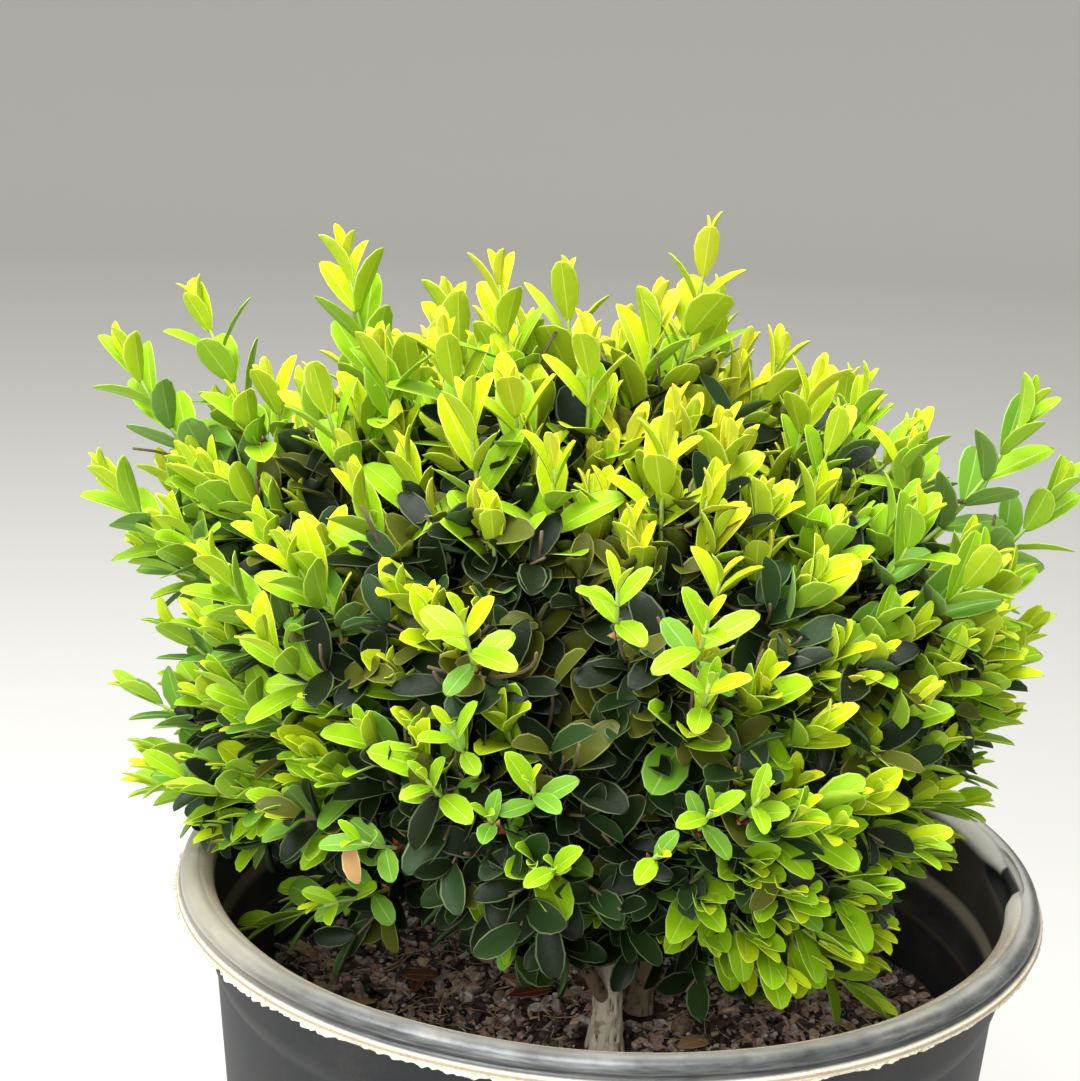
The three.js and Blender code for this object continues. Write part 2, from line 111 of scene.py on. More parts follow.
# Curves are arrays of three points a, b, c each: (1-t)²a + 2t(1-t)b + t²c.
def pointOn(curve, t):
    t = np.asarray(t, float)[..., None]
    return (1 - t) ** 2 * curve[..., 0, :] + 2 * t * (1 - t) * curve[..., 1, :] + t * t * curve[..., 2, :]


def directionOn(curve, t):
    t = np.asarray(t, float)[..., None]
    return unit((1 - t) * (curve[..., 1, :] - curve[..., 0, :]) + t * (curve[..., 2, :] - curve[..., 1, :]))


def evenShare(curve, share):
    # The t at which that share of one curve's length is behind.
    t = np.linspace(0, 1, 201)
    steps = lengths(np.diff(pointOn(curve, t), axis=0))
    return np.interp(share, np.r_[0, np.cumsum(steps)] / steps.sum(), t)


def lengthOf(curves):
    points = pointOn(curves[:, None], np.linspace(0, 1, 17)[None])
    return lengths(np.diff(points, axis=1)).sum(1)


# One wire of a finish. Sums and products of wires add the Math nodes that they need.
class Wire:
    def __init__(self, finish, socket):
        self.finish, self.socket = finish, socket

    def math(self, operation, *values):
        return self.finish.node("ShaderNodeMath", {"operation": operation}, dict(enumerate(values)))

    def __add__(self, other):
        return self.math("ADD", self, other)

    def __sub__(self, other):
        return self.math("SUBTRACT", self, other)

    def __rsub__(self, other):
        return self.math("SUBTRACT", other, self)

    def __mul__(self, other):
        return self.math("MULTIPLY", self, other)

    def __truediv__(self, other):
        return self.math("DIVIDE", self, other)

    def __pow__(self, other):
        return self.math("POWER", self, other)

    __radd__, __rmul__ = __add__, __mul__

    def between(self, low, high):  # 0 at low, 1 at high, smooth between
        settings = {"interpolation_type": "SMOOTHSTEP"}
        return self.finish.node("ShaderNodeMapRange", settings, {0: self, 1: low, 2: high, 3: 0.0, 4: 1.0})

    def band(self, rise, fall):  # up to 1 from one height to the next, and down again
        return self.between(*rise) * (1 - self.between(*fall))


class Finish:
    def __init__(self, name, colour, **uniform):
        self.material = bpy.data.materials.new(name)
        self.material.use_nodes = True
        self.tree = self.material.node_tree
        self.shader = self.tree.nodes["Principled BSDF"]
        self.shader.inputs["Base Color"].default_value = tint(colour)
        for socket, value in uniform.items():
            self.shader.inputs[socket.replace("_", " ")].default_value = value

    def node(self, kind, settings={}, inputs={}, output=0):
        made = self.tree.nodes.new(kind)
        for key, value in settings.items():
            if key == "stops":
                stops = made.color_ramp.elements
                while len(stops) < len(value):
                    stops.new(0.5)
                for spot, (place, colour) in zip(stops, value):
                    spot.position, spot.color = place, tint(colour)
            else:
                setattr(made, key, value)
        for key, value in inputs.items():
            if isinstance(value, Wire):
                self.tree.links.new(value.socket, made.inputs[key])
            else:
                made.inputs[key].default_value = value
        return Wire(self, made.outputs[output])

    def place(self, stretch=(1, 1, 1)):
        where = self.node("ShaderNodeTexCoord", output="Object")
        return self.node("ShaderNodeMapping", {}, {"Vector": where, "Scale": stretch})

    def axes(self, vector):
        return [self.node("ShaderNodeSeparateXYZ", {}, {0: vector}, axis) for axis in range(3)]

    def noise(self, vector, scale, detail=3.0, roughness=0.5):
        inputs = {"Vector": vector, "Scale": scale, "Detail": detail, "Roughness": roughness}
        return self.node("ShaderNodeTexNoise", {}, inputs, "Fac")

    def ramp(self, share, *stops):
        return self.node("ShaderNodeValToRGB", {"stops": stops}, {0: share})

    def mix(self, share, low, high):
        low, high = [tint(c) if isinstance(c, str) else c for c in (low, high)]
        return self.node("ShaderNodeMix", {"data_type": "RGBA"}, {0: share, 6: low, 7: high}, 2)

    def bump(self, height, strength, distance):
        inputs = {"Height": height, "Strength": strength, "Distance": distance}
        return self.node("ShaderNodeBump", {}, inputs)

    def feed(self, **wires):
        for socket, wire in wires.items():
            self.tree.links.new(wire.socket, self.shader.inputs[socket.replace("_", " ")])
        return self


def tint(colour):
    # A screen colour such as 8fae3c as linear light: ((c + 0.055) / 1.055)^2.4, and c / 12.92 for dark values.
    c = np.array([int(colour[i:i + 2], 16) for i in (0, 2, 4)]) / 255
    return (*np.where(c > 0.04045, ((c + 0.055) / 1.055) ** 2.4, c / 12.92), 1.0)


def grainyFinish(name, colour, noise, rough, bump=None, stops=(), **uniform):
    # A finish with one grain, noise of that scale, detail and roughness. It gives the roughness (grain times the
    # first number plus the second), the bump (strength, distance) and the colour (stops), where they are asked for.
    finish = Finish(name, colour, **uniform)
    grain = finish.noise(finish.place(), *noise)
    finish.feed(Roughness=grain * rough[0] + rough[1])
    if bump:
        finish.feed(Normal=finish.bump(grain, *bump))
    if stops:
        finish.feed(Base_Color=finish.ramp(grain, *stops))
    return finish


# Points as an (n, 3) array, and faces as arrays of corner numbers, (k, 3), (k, 4) or wider.
def makePiece(name, points, faces, finishes, which=None, slot="", replaces=(), flat=False):
    mesh = bpy.data.meshes.new(name)
    corners = np.concatenate([f.ravel() for f in faces]).astype(np.int32)
    sizes = np.concatenate([np.full(len(f), f.shape[1]) for f in faces])
    mesh.vertices.add(len(points))
    mesh.vertices.foreach_set("co", np.asarray(points, np.float32).ravel())
    mesh.loops.add(len(corners))
    mesh.loops.foreach_set("vertex_index", corners)
    mesh.polygons.add(len(sizes))
    mesh.polygons.foreach_set("loop_start", np.r_[0, np.cumsum(sizes)[:-1]].astype(np.int32))
    for finish in finishes:
        mesh.materials.append(finish.material)
    if which is not None:
        mesh.polygons.foreach_set("material_index", np.asarray(which, np.int32))
    mesh.polygons.foreach_set("use_smooth", np.full(len(sizes), not flat))
    mesh.update(calc_edges=True)
    piece = bpy.data.objects.new(name, mesh)
    bpy.context.collection.objects.link(piece)
    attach(piece, "root")
    if replaces:
        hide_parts(*replaces)
    return piece


def gridFaces(rows, columns):
    # A grid of points as four-cornered faces. Its last column joins its first.
    r, c = np.meshgrid(np.arange(rows - 1), np.arange(columns), indexing="ij")
    here, beside = r * columns + c, r * columns + (c + 1) % columns
    return np.stack([here, beside, beside + columns, here + columns], -1).reshape(-1, 4)


def shellFaces(rows, columns):
    # The grid, and a fan of triangles at each end round one of the two points that follow the grid's own.
    c, pole = np.arange(columns), np.full(columns, rows * columns)
    beside, lastRow = (c + 1) % columns, (rows - 1) * columns
    fans = [np.stack([beside, c, pole], -1), np.stack([lastRow + c, lastRow + beside, pole + 1], -1)]
    return [gridFaces(rows, columns), *fans]


def polesClosed(points, first, last):
    # A grid's rows of points, with one more at each end that every column runs into.
    return np.concatenate([points.reshape(-1, 3), [first, last]]), shellFaces(*points.shape[:2])


def prismFaces(n):
    # A ring of n points and one above it: the sides, the bottom and the top.
    ring = np.arange(n)
    beside = (ring + 1) % n
    return [np.stack([ring, beside, n + beside, n + ring], -1), ring[None, ::-1], n + ring[None]]


def copies(faces, count, size):
    # The faces of count equal shapes, one after another, of size points each.
    start = (np.arange(count) * size)[:, None, None]
    return [(f[None] + start).reshape(-1, f.shape[1]) for f in faces]


def together(shapes):
    # Shapes joined into one. Each has its points, its kinds of face, and the finish of each face by kind.
    points, faces, which = zip(*shapes)
    starts = np.cumsum([0] + [len(p) for p in points])
    kinds = range(len(faces[0]))
    joined = [np.concatenate([f[k] + start for f, start in zip(faces, starts)]) for k in kinds]
    return np.concatenate(points), joined, np.concatenate([w[k] for k in kinds for w in which])


# The camera stands where the photograph was taken from.
view = {"place": (0, -0.59507, 0.49829), "yaw": -2.555, "pitch": 14.462, "roll": 2.285, "focal": 64.63}
light = {  # each lamp has its power, size and place
    "sky": (1.0, 0.985, 0.93), "skyStrength": 0.66, "aim": (0, 0, 0.25),
    "lamps": {"softboxAbove": (52, 1.2, (-0.34, -0.3, 1.75)), "softboxFront": (18, 0.9, (-0.5, -1.5, 0.95))},
}
stage = {"level": 4, "sweep": 1.2, "turns": 96}


def makeCamera():
    yaw, pitch, roll = (math.radians(view[k]) for k in ("yaw", "pitch", "roll"))
    level = Vector((math.sin(yaw), math.cos(yaw), 0))
    right = Vector((math.cos(yaw), -math.sin(yaw), 0))
    ahead = level * math.cos(pitch) - Vector(up) * math.sin(pitch)
    over = right.cross(ahead)
    right, over = right * math.cos(roll) + over * math.sin(roll), over * math.cos(roll) - right * math.sin(roll)
    lens = bpy.data.cameras.new("camera")
    lens.lens, lens.sensor_width, lens.clip_start = view["focal"], 36, 0.01
    camera = bpy.data.objects.new("camera", lens)
    camera.matrix_world = Matrix.Translation(view["place"]) @ Matrix((right, over, -ahead)).transposed().to_4x4()
    bpy.context.collection.objects.link(camera)
    bpy.context.scene.camera = camera


def makeStage():
    sky = bpy.data.worlds.new("sky")
    sky.use_nodes = True
    background = sky.node_tree.nodes["Background"]
    background.inputs["Color"].default_value = (*light["sky"], 1)
    background.inputs["Strength"].default_value = light["skyStrength"]
    bpy.context.scene.world = sky
    for name, (energy, size, place) in light["lamps"].items():
        lamp = bpy.data.lights.new(name, "AREA")
        lamp.energy, lamp.size = energy, size
        softbox = bpy.data.objects.new(name, lamp)
        softbox.location = place
        softbox.rotation_euler = (Vector(light["aim"]) - softbox.location).to_track_quat("-Z", "Y").to_euler()
        bpy.context.collection.objects.link(softbox)
    # A round floor that sweeps up at its edge: level, then a quarter circle.
    bend, sweep = np.linspace(0, np.pi / 2, 9), stage["sweep"]
    radius = np.r_[0.5, 2, stage["level"] + sweep * np.sin(bend)][:, None]
    height = np.r_[0, 0, sweep - sweep * np.cos(bend)][:, None]
    a = np.linspace(0, 2 * np.pi, stage["turns"], endpoint=False)
    points, (rings, middle, _) = polesClosed(polar(radius, a, height), (0, 0, 0), (0, 0, 0))
    mesh = bpy.data.meshes.new("floor")
    mesh.from_pydata(points[:-1].tolist(), [], rings[:, ::-1].tolist() + middle[:, ::-1].tolist())
    mesh.polygons.foreach_set("use_smooth", np.full(len(mesh.polygons), True))
    pale = grainyFinish("paleFloor", "c9c9c6", (3.0,), (0.1, 0.8), Roughness=0.85)
    mesh.materials.append(pale.material)
    floor = bpy.data.objects.new("floor", mesh)
    bpy.context.collection.objects.link(floor)
    floor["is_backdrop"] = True
    bpy.context.scene.view_settings.view_transform = "Standard"


makeCamera()
makeStage()
print("camera, floor and light")


# The pot. Its profile runs from under the foot, up the outside, over the rim and down the inside, in millimetres.
pot = {
    "wall": 2.0, "turns": 240, "drains": 8, "drainWidth": 20, "drainHeight": 13, "drainOut": (100.0, 124.0),
    "dent": (1, 7.5, 3.2),  # azimuth, half width in degrees, depth
    "inner": ([0, 209, 214, 241], [110, 125.6, 128, 128]),  # heights, and the inside radius at each
    "foot": [(0, 0), (60, 0), (105.4, 0), (107, 0.15), (108.6, 1.0), (111.6, 3.8)],
    "under": [(130, 216), (130, 233), (130.4, 234.6), (131.4, 235.2), (136.6, 234.8), (137.8, 234.1)],
    "rim": [
        (138.1, 233.4), (138.7, 233.2), (139.5, 233.3), (139.9, 233.8), (139.9, 234.9), (139.4, 235.7), (138.7, 236.0),
        (138.2, 236.4), (138.3, 237.0), (138.6, 237.7), (138.5, 238.7), (137.8, 239.8), (136.5, 240.6), (134.6, 241),
        (132.8, 240.8), (131.2, 240.1), (129.6, 239.0), (128.5, 238.0), (128.05, 237.0), (128.0, 235.6),
    ],
    "groove": (198, 1.6, 0.8),  # height, half width, depth
    "base": [(109.6, 4.0), (108, 2.9), (105, 2.5), (60, 2.5), (0, 2.5)],
}


def potInner(z):
    # The inside radius: a straight taper to the stacking ledge, a step out over it, then the throat.
    return np.interp(z, *pot["inner"])


def splined(points, cuts):
    # A smooth line through points: each span is half of (2b + (c-a)t + (2a-5b+4c-d)t² + (3b-a-3c+d)t³).
    p = np.concatenate([points[:1], points, points[-1:]])
    a, b, c, d = p[:-3, None], p[1:-2, None], p[2:-1, None], p[3:, None]
    t = np.linspace(0, 1, cuts, endpoint=False)[None, :, None]
    line = 0.5 * (2 * b + (c - a) * t + (2 * a - 5 * b + 4 * c - d) * t**2 + (3 * b - a - 3 * c + d) * t**3)
    return np.concatenate([line.reshape(-1, points.shape[1]), points[-1:]])


def potProfile():
    z = np.r_[np.linspace(5, 190, 20), np.arange(192, 213, 1.0)]
    outside = np.c_[np.minimum(potInner(z) + pot["wall"], 130), z]
    zIn = np.r_[np.arange(234, 190, -1.5), np.linspace(188, 8, 14)]
    at, width, depth = pot["groove"]
    inside = np.c_[potInner(zIn) - depth * np.exp(-(((zIn - at) / width) ** 2)), zIn]
    rim = splined(np.array(pot["rim"]), 3)
    return np.concatenate([pot["foot"], outside, pot["under"], rim, inside, pot["base"]]) * mm


def waver(angle):
    # How far the rim strays, in millimetres: three waves round it.
    return 0.35 * np.sin(2 * angle + 0.6) + 0.2 * np.sin(5 * angle + 2) + 0.12 * np.sin(11 * angle)


def potShell():
    # Radius and height from the profile, turned round the axis. The rim wavers a little and has one dent.
    profile = potProfile()
    angle = np.linspace(0, 2 * np.pi, pot["turns"], endpoint=False)
    radius, height = profile[1:-1, :1], profile[1:-1, 1:]
    at, width, depth = pot["dent"]
    off = (np.degrees(angle) - at + 180) % 360 - 180
    top = smooth(height, 0.224, 0.240)
    throat = smooth(height, 0.2285, 0.2345) * smooth(-radius, -0.1345, -0.1315)
    bite = throat * np.exp(-((off / width) ** 4))
    radius = radius + (top * 0.5 * waver(angle) + depth * bite) * mm
    height = height + (top * 0.25 * np.roll(waver(angle), 31) - 0.7 * bite) * mm
    return polesClosed(polar(radius, angle, height), (0, 0, profile[0, 1]), (0, 0, profile[-1, 1]))


def drainCutters():
    # An arch through the foot's corner at each drain: a low opening under a half round, carried outwards.
    turn = np.linspace(0, np.pi, 13)
    half, rise = pot["drainWidth"] / 2, pot["drainWidth"] * 0.35
    crown = np.c_[half * np.cos(turn), pot["drainHeight"] - rise + rise * np.sin(turn)]
    arch = np.concatenate([[(half, -4)], crown, [(-half, -4)]])
    at = ((np.arange(pot["drains"]) + 0.5) * 2 * np.pi / pot["drains"])[:, None, None]
    x, (y, z) = np.array(pot["drainOut"])[:, None], arch.T
    x, y = x * np.cos(at) - y * np.sin(at), x * np.sin(at) + y * np.cos(at)
    points = np.stack(np.broadcast_arrays(x, y, z), -1) * mm
    return points.reshape(-1, 3), copies(prismFaces(len(arch)), len(at), 2 * len(arch))


def potFinish():
    finish = Finish("blackPlastic", "1b1d1f", Roughness=0.5, Specular_IOR_Level=0.35)
    where = finish.place()
    x, y, z = finish.axes(where)
    radius = (x * x + y * y) ** 0.5
    around = {0: x / radius * 0.02, 1: y / radius * 0.02, 2: z * 2 + radius}
    streaks = finish.noise(finish.node("ShaderNodeCombineXYZ", {}, around), 520.0, 4.0, 0.6)
    blotches = finish.noise(where, 38.0, 4.0, 0.55)
    grit = finish.noise(where, 900.0, 3.0, 0.7)
    # Where each part of the pot is, by its heights and radii in metres.
    # In the dent, the worn slope is painted dark: painted shade in its recess.
    bite = (x - 0.126).between(0.0, 0.001) * (1 - (y * y).between(0.00009, 0.00013))
    edge = (radius + streaks * 0.0012).between(0.1330, 0.1344)
    slope = z.between(0.2345, 0.2365) * (1 - edge)
    bead = z.between(0.2356, 0.2366) * edge
    lip = z.band((0.2325, 0.2331), (0.2355, 0.2361)) * radius.between(0.1376, 0.1380)
    lipLine = z.band((0.2341, 0.2345), (0.2350, 0.2354))
    # The wall's inner face lies inside 110.7 mm + 0.0746 of the height, and steps out by 2.4 mm at the ledge.
    low = z.math("MINIMUM", z, 0.214)
    inner = 1 - (radius - low * 0.0746 - z.between(0.209, 0.214) * 0.0024).between(0.1104, 0.1110)
    # Light taupe rings on the inner face at the ledge and, fainter, at the groove: painted highlights, with some dust.
    groove = z.band((0.1945, 0.1970), (0.1975, 0.1990))
    ledgeHighlightAndDust = inner * (z.band((0.2085, 0.2115), (0.2130, 0.2150)) + groove * 0.4)
    throat = inner * z.between(0.2140, 0.2170)
    dusty = 0.10 + 0.35 * (1 - z.between(0.01, 0.09)) + 0.2 * inner
    dust = (blotches * 0.9 + grit * 0.5).between(0.55, 1.0) * dusty
    # The inner face is painted lighter than the outside, as a painted satin reflection, and taupe above the ledge.
    wall = finish.mix(inner, "161a20", finish.mix(throat * 0.8, "2a2e33", "4d473f"))
    wall = finish.mix(ledgeHighlightAndDust * 0.8, finish.mix(dust, wall, "84796a"), "a3957f")
    # The bead is painted bright on its crest and dark on its outer fall, as painted reflections of the sky above and
    # the dark ground below. It is bleached towards the right, and tan on the left, where a painted highlight lightens
    # it too.
    fall = radius.between(0.1350, 0.1372)
    bleached = (x + y * 0.6).between(0.085, 0.125)
    # Tan on the left, and lighter there as a painted highlight, which also thins the painted dark reflection on the
    # fall.
    tanAndLitLeft = (0 - x).between(0.06, 0.13)
    crestSkyReflection = (0.25, "83817b"), (0.45, "9a9994"), (0.6, "afada7"), (0.8, "9f998e")
    crest = finish.mix(bleached * 0.7, finish.ramp(streaks * 0.75 + blotches * 0.25, *crestSkyReflection), "dcdad4")
    fallDarkReflection = finish.ramp(streaks, (0.35, "34373a"), (0.6, "5f6263"), (0.75, "86837c"))
    beadReflectionsAndWear = finish.mix(fall * (0.9 - tanAndLitLeft * 0.75), finish.mix(tanAndLitLeft * 0.7, crest, "d6cdbb"), fallDarkReflection)
    worn = finish.ramp(streaks * 0.5 + grit * 0.5, (0.3, "7a6f60"), (0.5, "a29785"), (0.75, "c4baa7"))
    worn = finish.mix(tanAndLitLeft * 0.5, finish.mix(bleached * 0.8, worn, "e4e1da"), "cbbfa8")
    chalk = finish.ramp(grit * 0.6 + streaks * 0.4, (0.3, "a89c86"), (0.5, "d9d1be"), (0.8, "efe9d8"))
    colour = finish.mix(slope, finish.mix(bead, wall, beadReflectionsAndWear), finish.mix(bite, worn, "26282a"))
    colour = finish.mix(lip, colour, finish.mix(lipLine * 0.7, chalk, "8b7553"))
    return finish.feed(
        Base_Color=colour,
        Metallic=bead * 0.45,
        Roughness=0.5 - bead * 0.2 + dust * 0.4 + lip * 0.3 + slope * 0.1 + streaks * 0.08,
        Normal=finish.bump((streaks * 0.5 + blotches * 0.3) * (bead + slope) + grit * 0.3, 0.18, 0.0004),
    )


def makePot():
    finish = potFinish()
    piece = makePiece("potShell", *potShell(), [finish], slot="pot", replaces=["pot"])
    cutter = makePiece("drainCutters", *drainCutters(), [finish])
    cut = piece.modifiers.new("drains", "BOOLEAN")
    cut.operation, cut.object, cut.solver = "DIFFERENCE", cutter, "EXACT"
    shape = bpy.data.meshes.new_from_object(piece.evaluated_get(bpy.context.evaluated_depsgraph_get()))
    piece.modifiers.clear()
    piece.data = shape
    bpy.data.objects.remove(cutter)


# The frayed flash that stands out along the lip's lower edge. Its section is how far out and how high each point is,
# and what stands out beyond 0 is a share of the fray's reach there.
fray = {
    "turns": 1500, "radius": 139.7, "height": 233.9, "reach": 1.5,
    "section": [(-0.7, 0.4), (0.15, 0.4), (1.0, 0.14), (1.0, -0.14), (0.1, -0.5), (-0.7, -0.3)],
}


def makeFray():
    # A thin band round the lip: its outer edge reaches out and down by coarse and fine lumps, bare in places.
    angle = np.linspace(0, 2 * np.pi, fray["turns"], endpoint=False)
    circle = polar(1, angle) * 0.14
    coarse, fine = lumps(circle, 0.011, 3), lumps(circle, 0.0014, 5)
    front = 0.3 + 0.7 * smooth(np.cos(angle - 3.93), -0.1, 0.6)
    reach = fray["reach"] * front * smooth(coarse, 0.1, 0.5) * (0.15 + 1.1 * fine)
    low = fray["height"] - 0.2 - 0.9 * reach * lumps(circle, 0.0021, 8)
    rows = []
    for out, rise in fray["section"]:
        r = fray["radius"] + 0.5 * waver(angle) + np.where(out > 0, out * reach, out)
        rows.append(polar(r, angle, (low if out > 0 else fray["height"]) + rise) * mm)
    points = np.stack(rows, 1).reshape(-1, 3)
    faces = gridFaces(len(angle) + 1, len(rows)) % len(points)
    stops = (0.3, "8d826d"), (0.5, "d5cdb9"), (0.75, "f1ecdd")
    finish = grainyFinish("frayedEdge", "d9d2bf", (700.0, 4.0, 0.7), (0.2, 0.7), (0.5, 0.0004), stops, Roughness=0.85)
    makePiece("frayedLip", points, [faces], [finish], slot="pot")


makePot()
makeFray()
print("pot")


# The potting mix: bark bits on a dark uneven ground. Each bark has its share of the bits and three colours.
mix = {"top": 178, "bump": 2.6, "floor": 2.8, "rings": 70, "turns": 200, "chips": 8000, "fibres": 520}
barks = {
    "barkDark": (0.36, "1c1512", "584a40", "9c857a"),
    "barkUmber": (0.27, "503c32", "b89f93", "ecdacc"),
    "barkRusset": (0.15, "735044", "c09a88", "ecccba"),
    "barkFawn": (0.12, "9a7a5e", "e2c49a", "fae8c8"),
    "barkGrey": (0.10, "726a62", "d0c8bc", "f6eee4"),
}
# The round bits: how many, how high they lie, their least radius, what chance adds and its power, then their
# columns and rows of points, how flat they are and how rough.
litter = {
    "feed_prills": (60, 2.4, 1.2, 0.5, 1, 8, 5, 1.0, 0.0),
    "perlite_specks": (300, 2.3, 0.5, 0.8, 2, 6, 3, 0.8, 0.5),
    "pebbles": (12, 2.2, 2.2, 1.8, 1, 12, 7, 0.7, 0.12),
}
stemFeet = np.array([(2.0, -18.0), (13.0, 9.0)])


def fromStems(x, y):
    return np.min([np.hypot(x - fx, y - fy) for fx, fy in stemFeet], axis=0)


def mixHeight(x, y):
    # In millimetres, as in the source: waves, fading to level where the stems stand.
    waves = np.sin(x * 0.071 + 1.3) * np.cos(y * 0.083) + 0.6 * np.sin((x - y) * 0.12)
    return mix["top"] + (mix["bump"] * waves - 1) * smooth(fromStems(x, y), 13.2, 35.2)


def makeGround():
    # Rings of points from the middle to the wall at the mix's height plus crumbs, then down the wall and in below.
    angle = np.linspace(0, 2 * np.pi, mix["turns"], endpoint=False)
    edge = potInner(mix["top"] - mix["bump"]) - 0.5
    r, a = np.meshgrid(edge * np.linspace(0.01, 1, mix["rings"]), angle, indexing="ij")
    level = polar(r, a)
    crumbs = 1.6 * (lumps(level, 4.5, 1) - 0.5) + 1.4 * (lumps(level, 1.9, 2) - 0.5)
    top = polar(r, a, mixHeight(level[..., 0], level[..., 1]) + crumbs * smooth(edge - r, 0, 2) - 0.4)
    wallZ = np.array([150.0, 100, 50, mix["floor"]])[:, None]
    wall = polar(potInner(wallZ) - 0.6, angle, wallZ)
    middle = (mixHeight(0.0, 0.0) - 0.4) * mm
    points, faces = polesClosed(np.concatenate([top, wall]) * mm, (0, 0, middle), (0, 0, mix["floor"] * mm))
    finish = Finish("darkCompost", "241a14", Roughness=0.95)
    where = finish.place()
    crumb, speck = finish.noise(where, 260.0, 6.0, 0.65), finish.noise(where, 900.0, 3.0, 0.6)
    browns = (0.3, "120e0c"), (0.5, "3e312a"), (0.62, "806a58"), (0.8, "d4bda2")
    finish.feed(
        Base_Color=finish.ramp(crumb * 0.6 + speck * 0.4, *browns),
        Roughness=speck * 0.2 + 0.78,
        Normal=finish.bump(crumb + speck * 0.6, 0.9, 0.002),
    )
    faces = [f[:, ::-1] for f in faces]
    makePiece("potting_ground", points, faces, [finish], slot="potting_mix", replaces=["potting_mix"])


def onMix(count, margin=3.0):
    # Points spread evenly over the mix, in millimetres, clear of the stems.
    r = (potInner(mix["top"]) - margin) * np.sqrt(dice.random(count))
    x, y, _ = polar(r, dice.random(count) * 2 * np.pi).T
    return np.stack([x, y, mixHeight(x, y)], -1)[fromStems(x, y) > 10]


def turned(count, tilt):
    # Random frames: each third axis leans from straight up by up to tilt degrees, each first one points anywhere.
    lean, way, spin = np.radians(tilt) * np.sqrt(dice.random(count)), *(dice.random((2, count)) * 2 * np.pi)
    normal, first = polar(np.sin(lean), way, np.cos(lean)), polar(1, spin)
    first = unit(first - normal * dot(first, normal))
    return np.stack([first, np.cross(normal, first), normal], 1)


def barkFinish(name, dark, middle, pale):
    finish = Finish(name, middle, Roughness=0.85)
    grain = finish.noise(finish.place((1, 1, 2.2)), 420.0, 5.0, 0.6)
    fine = finish.noise(finish.place(), 1500.0, 2.0, 0.6)
    return finish.feed(
        Base_Color=finish.ramp(grain * 0.7 + fine * 0.3, (0.32, dark), (0.5, middle), (0.72, pale)),
        Roughness=fine * 0.25 + 0.65,
        Normal=finish.bump(grain + fine * 0.5, 0.6, 0.0008),
    )


def makeChips():
    # Flakes and nuggets: a rough six-sided prism each, whose corners stand at random radii, longer than wide.
    place = onMix(mix["chips"])
    n = len(place)
    size = 0.64 + 1.9 * dice.random(n) ** 2.8
    long, thick = 1.1 + 2.0 * dice.random(n) ** 1.6, (0.18 + 0.34 * dice.random(n))[:, None]
    angle = (np.arange(6) + 0.7 * dice.random((n, 6)) - 0.35) * np.pi / 3
    radius = 0.72 + 0.45 * dice.random((n, 6))
    x, y = radius * np.cos(angle) * long[:, None], radius * np.sin(angle)
    low = np.stack([x, y, -thick + 0 * x], -1)
    high = np.stack([x * 0.82, y * 0.82, thick * (0.75 + 0.5 * dice.random((n, 6)))], -1)
    local = np.concatenate([low, high], 1) * size[:, None, None]
    points = np.einsum("nvk,nkc->nvc", local, turned(n, 58)) + place[:, None]
    points[..., 2] += (0.25 + 0.55 * dice.random(n) * size)[:, None] - 0.2
    r = np.hypot(points[..., 0], points[..., 1])
    points[..., :2] *= np.minimum(1, (potInner(mix["top"]) - 0.8) / np.maximum(r, 1e-6))[..., None]
    kinds = dice.choice(len(barks), n, p=[share for share, *_ in barks.values()])
    finishes = [barkFinish(name, *colours) for name, (_, *colours) in barks.items()]
    which = np.r_[np.repeat(kinds, 6), kinds, kinds]
    faces = copies(prismFaces(6), n, 12)
    makePiece("bark_chips", points.reshape(-1, 3) * mm, faces, finishes, which, slot="potting_mix", flat=True)


def roundBits(name, place, radius, finish, sides, rows, squash, rough):
    # Small balls: rings of latitude round each centre, pushed in and out by chance.
    n = len(place)
    latitude = np.linspace(-np.pi / 2, np.pi / 2, rows + 2)[1:-1, None]
    ball = polar(np.cos(latitude), np.arange(sides) * 2 * np.pi / sides, np.sin(latitude))
    shell, faces = polesClosed(ball, (0, 0, -1), (0, 0, 1))
    shape = shell[None] * (1 + rough * (dice.random((n, len(shell), 1)) - 0.5)) * (1, 1, squash)
    points = np.einsum("nvk,nkc->nvc", shape * radius[:, None, None], turned(n, 60)) + place[:, None]
    makePiece(name, points.reshape(-1, 3) * mm, copies(faces, n, len(shell)), [finish], slot="potting_mix")


def tubes(curve, rootRadius, tipRadius, sides, steps):
    # A round limb along each curve: a ring of points at each step, and a point closing each end.
    n = len(curve)
    t = np.linspace(0, 1, steps + 1)
    centre = pointOn(curve[:, None], np.broadcast_to(t, (n, steps + 1)))
    ahead = directionOn(curve[:, None], np.broadcast_to(t, (n, steps + 1)))
    bend = np.cross(curve[:, 1] - curve[:, 0], curve[:, 2] - curve[:, 1])
    chord = curve[:, 2] - curve[:, 0]
    spare = np.cross(chord, np.where(np.abs(unit(chord)[:, 2:]) > 0.9, (1.0, 0, 0), (0, 0, 1.0)))
    side = unit(np.where(lengths(bend)[:, None] > 1e-9, unit(bend), unit(spare)))[:, None]
    over = unit(np.cross(ahead, side))
    radius = blend(rootRadius[:, None], tipRadius[:, None], t[None])[..., None, None]
    a = np.arange(sides)[:, None] * 2 * np.pi / sides
    ring = centre[:, :, None] + radius * (np.cos(a) * side[:, :, None] + np.sin(a) * over[:, :, None])
    points = np.concatenate([ring.reshape(n, -1, 3), centre[:, :1], centre[:, -1:]], 1)
    return points.reshape(-1, 3), copies(shellFaces(steps + 1, sides), n, points.shape[1])


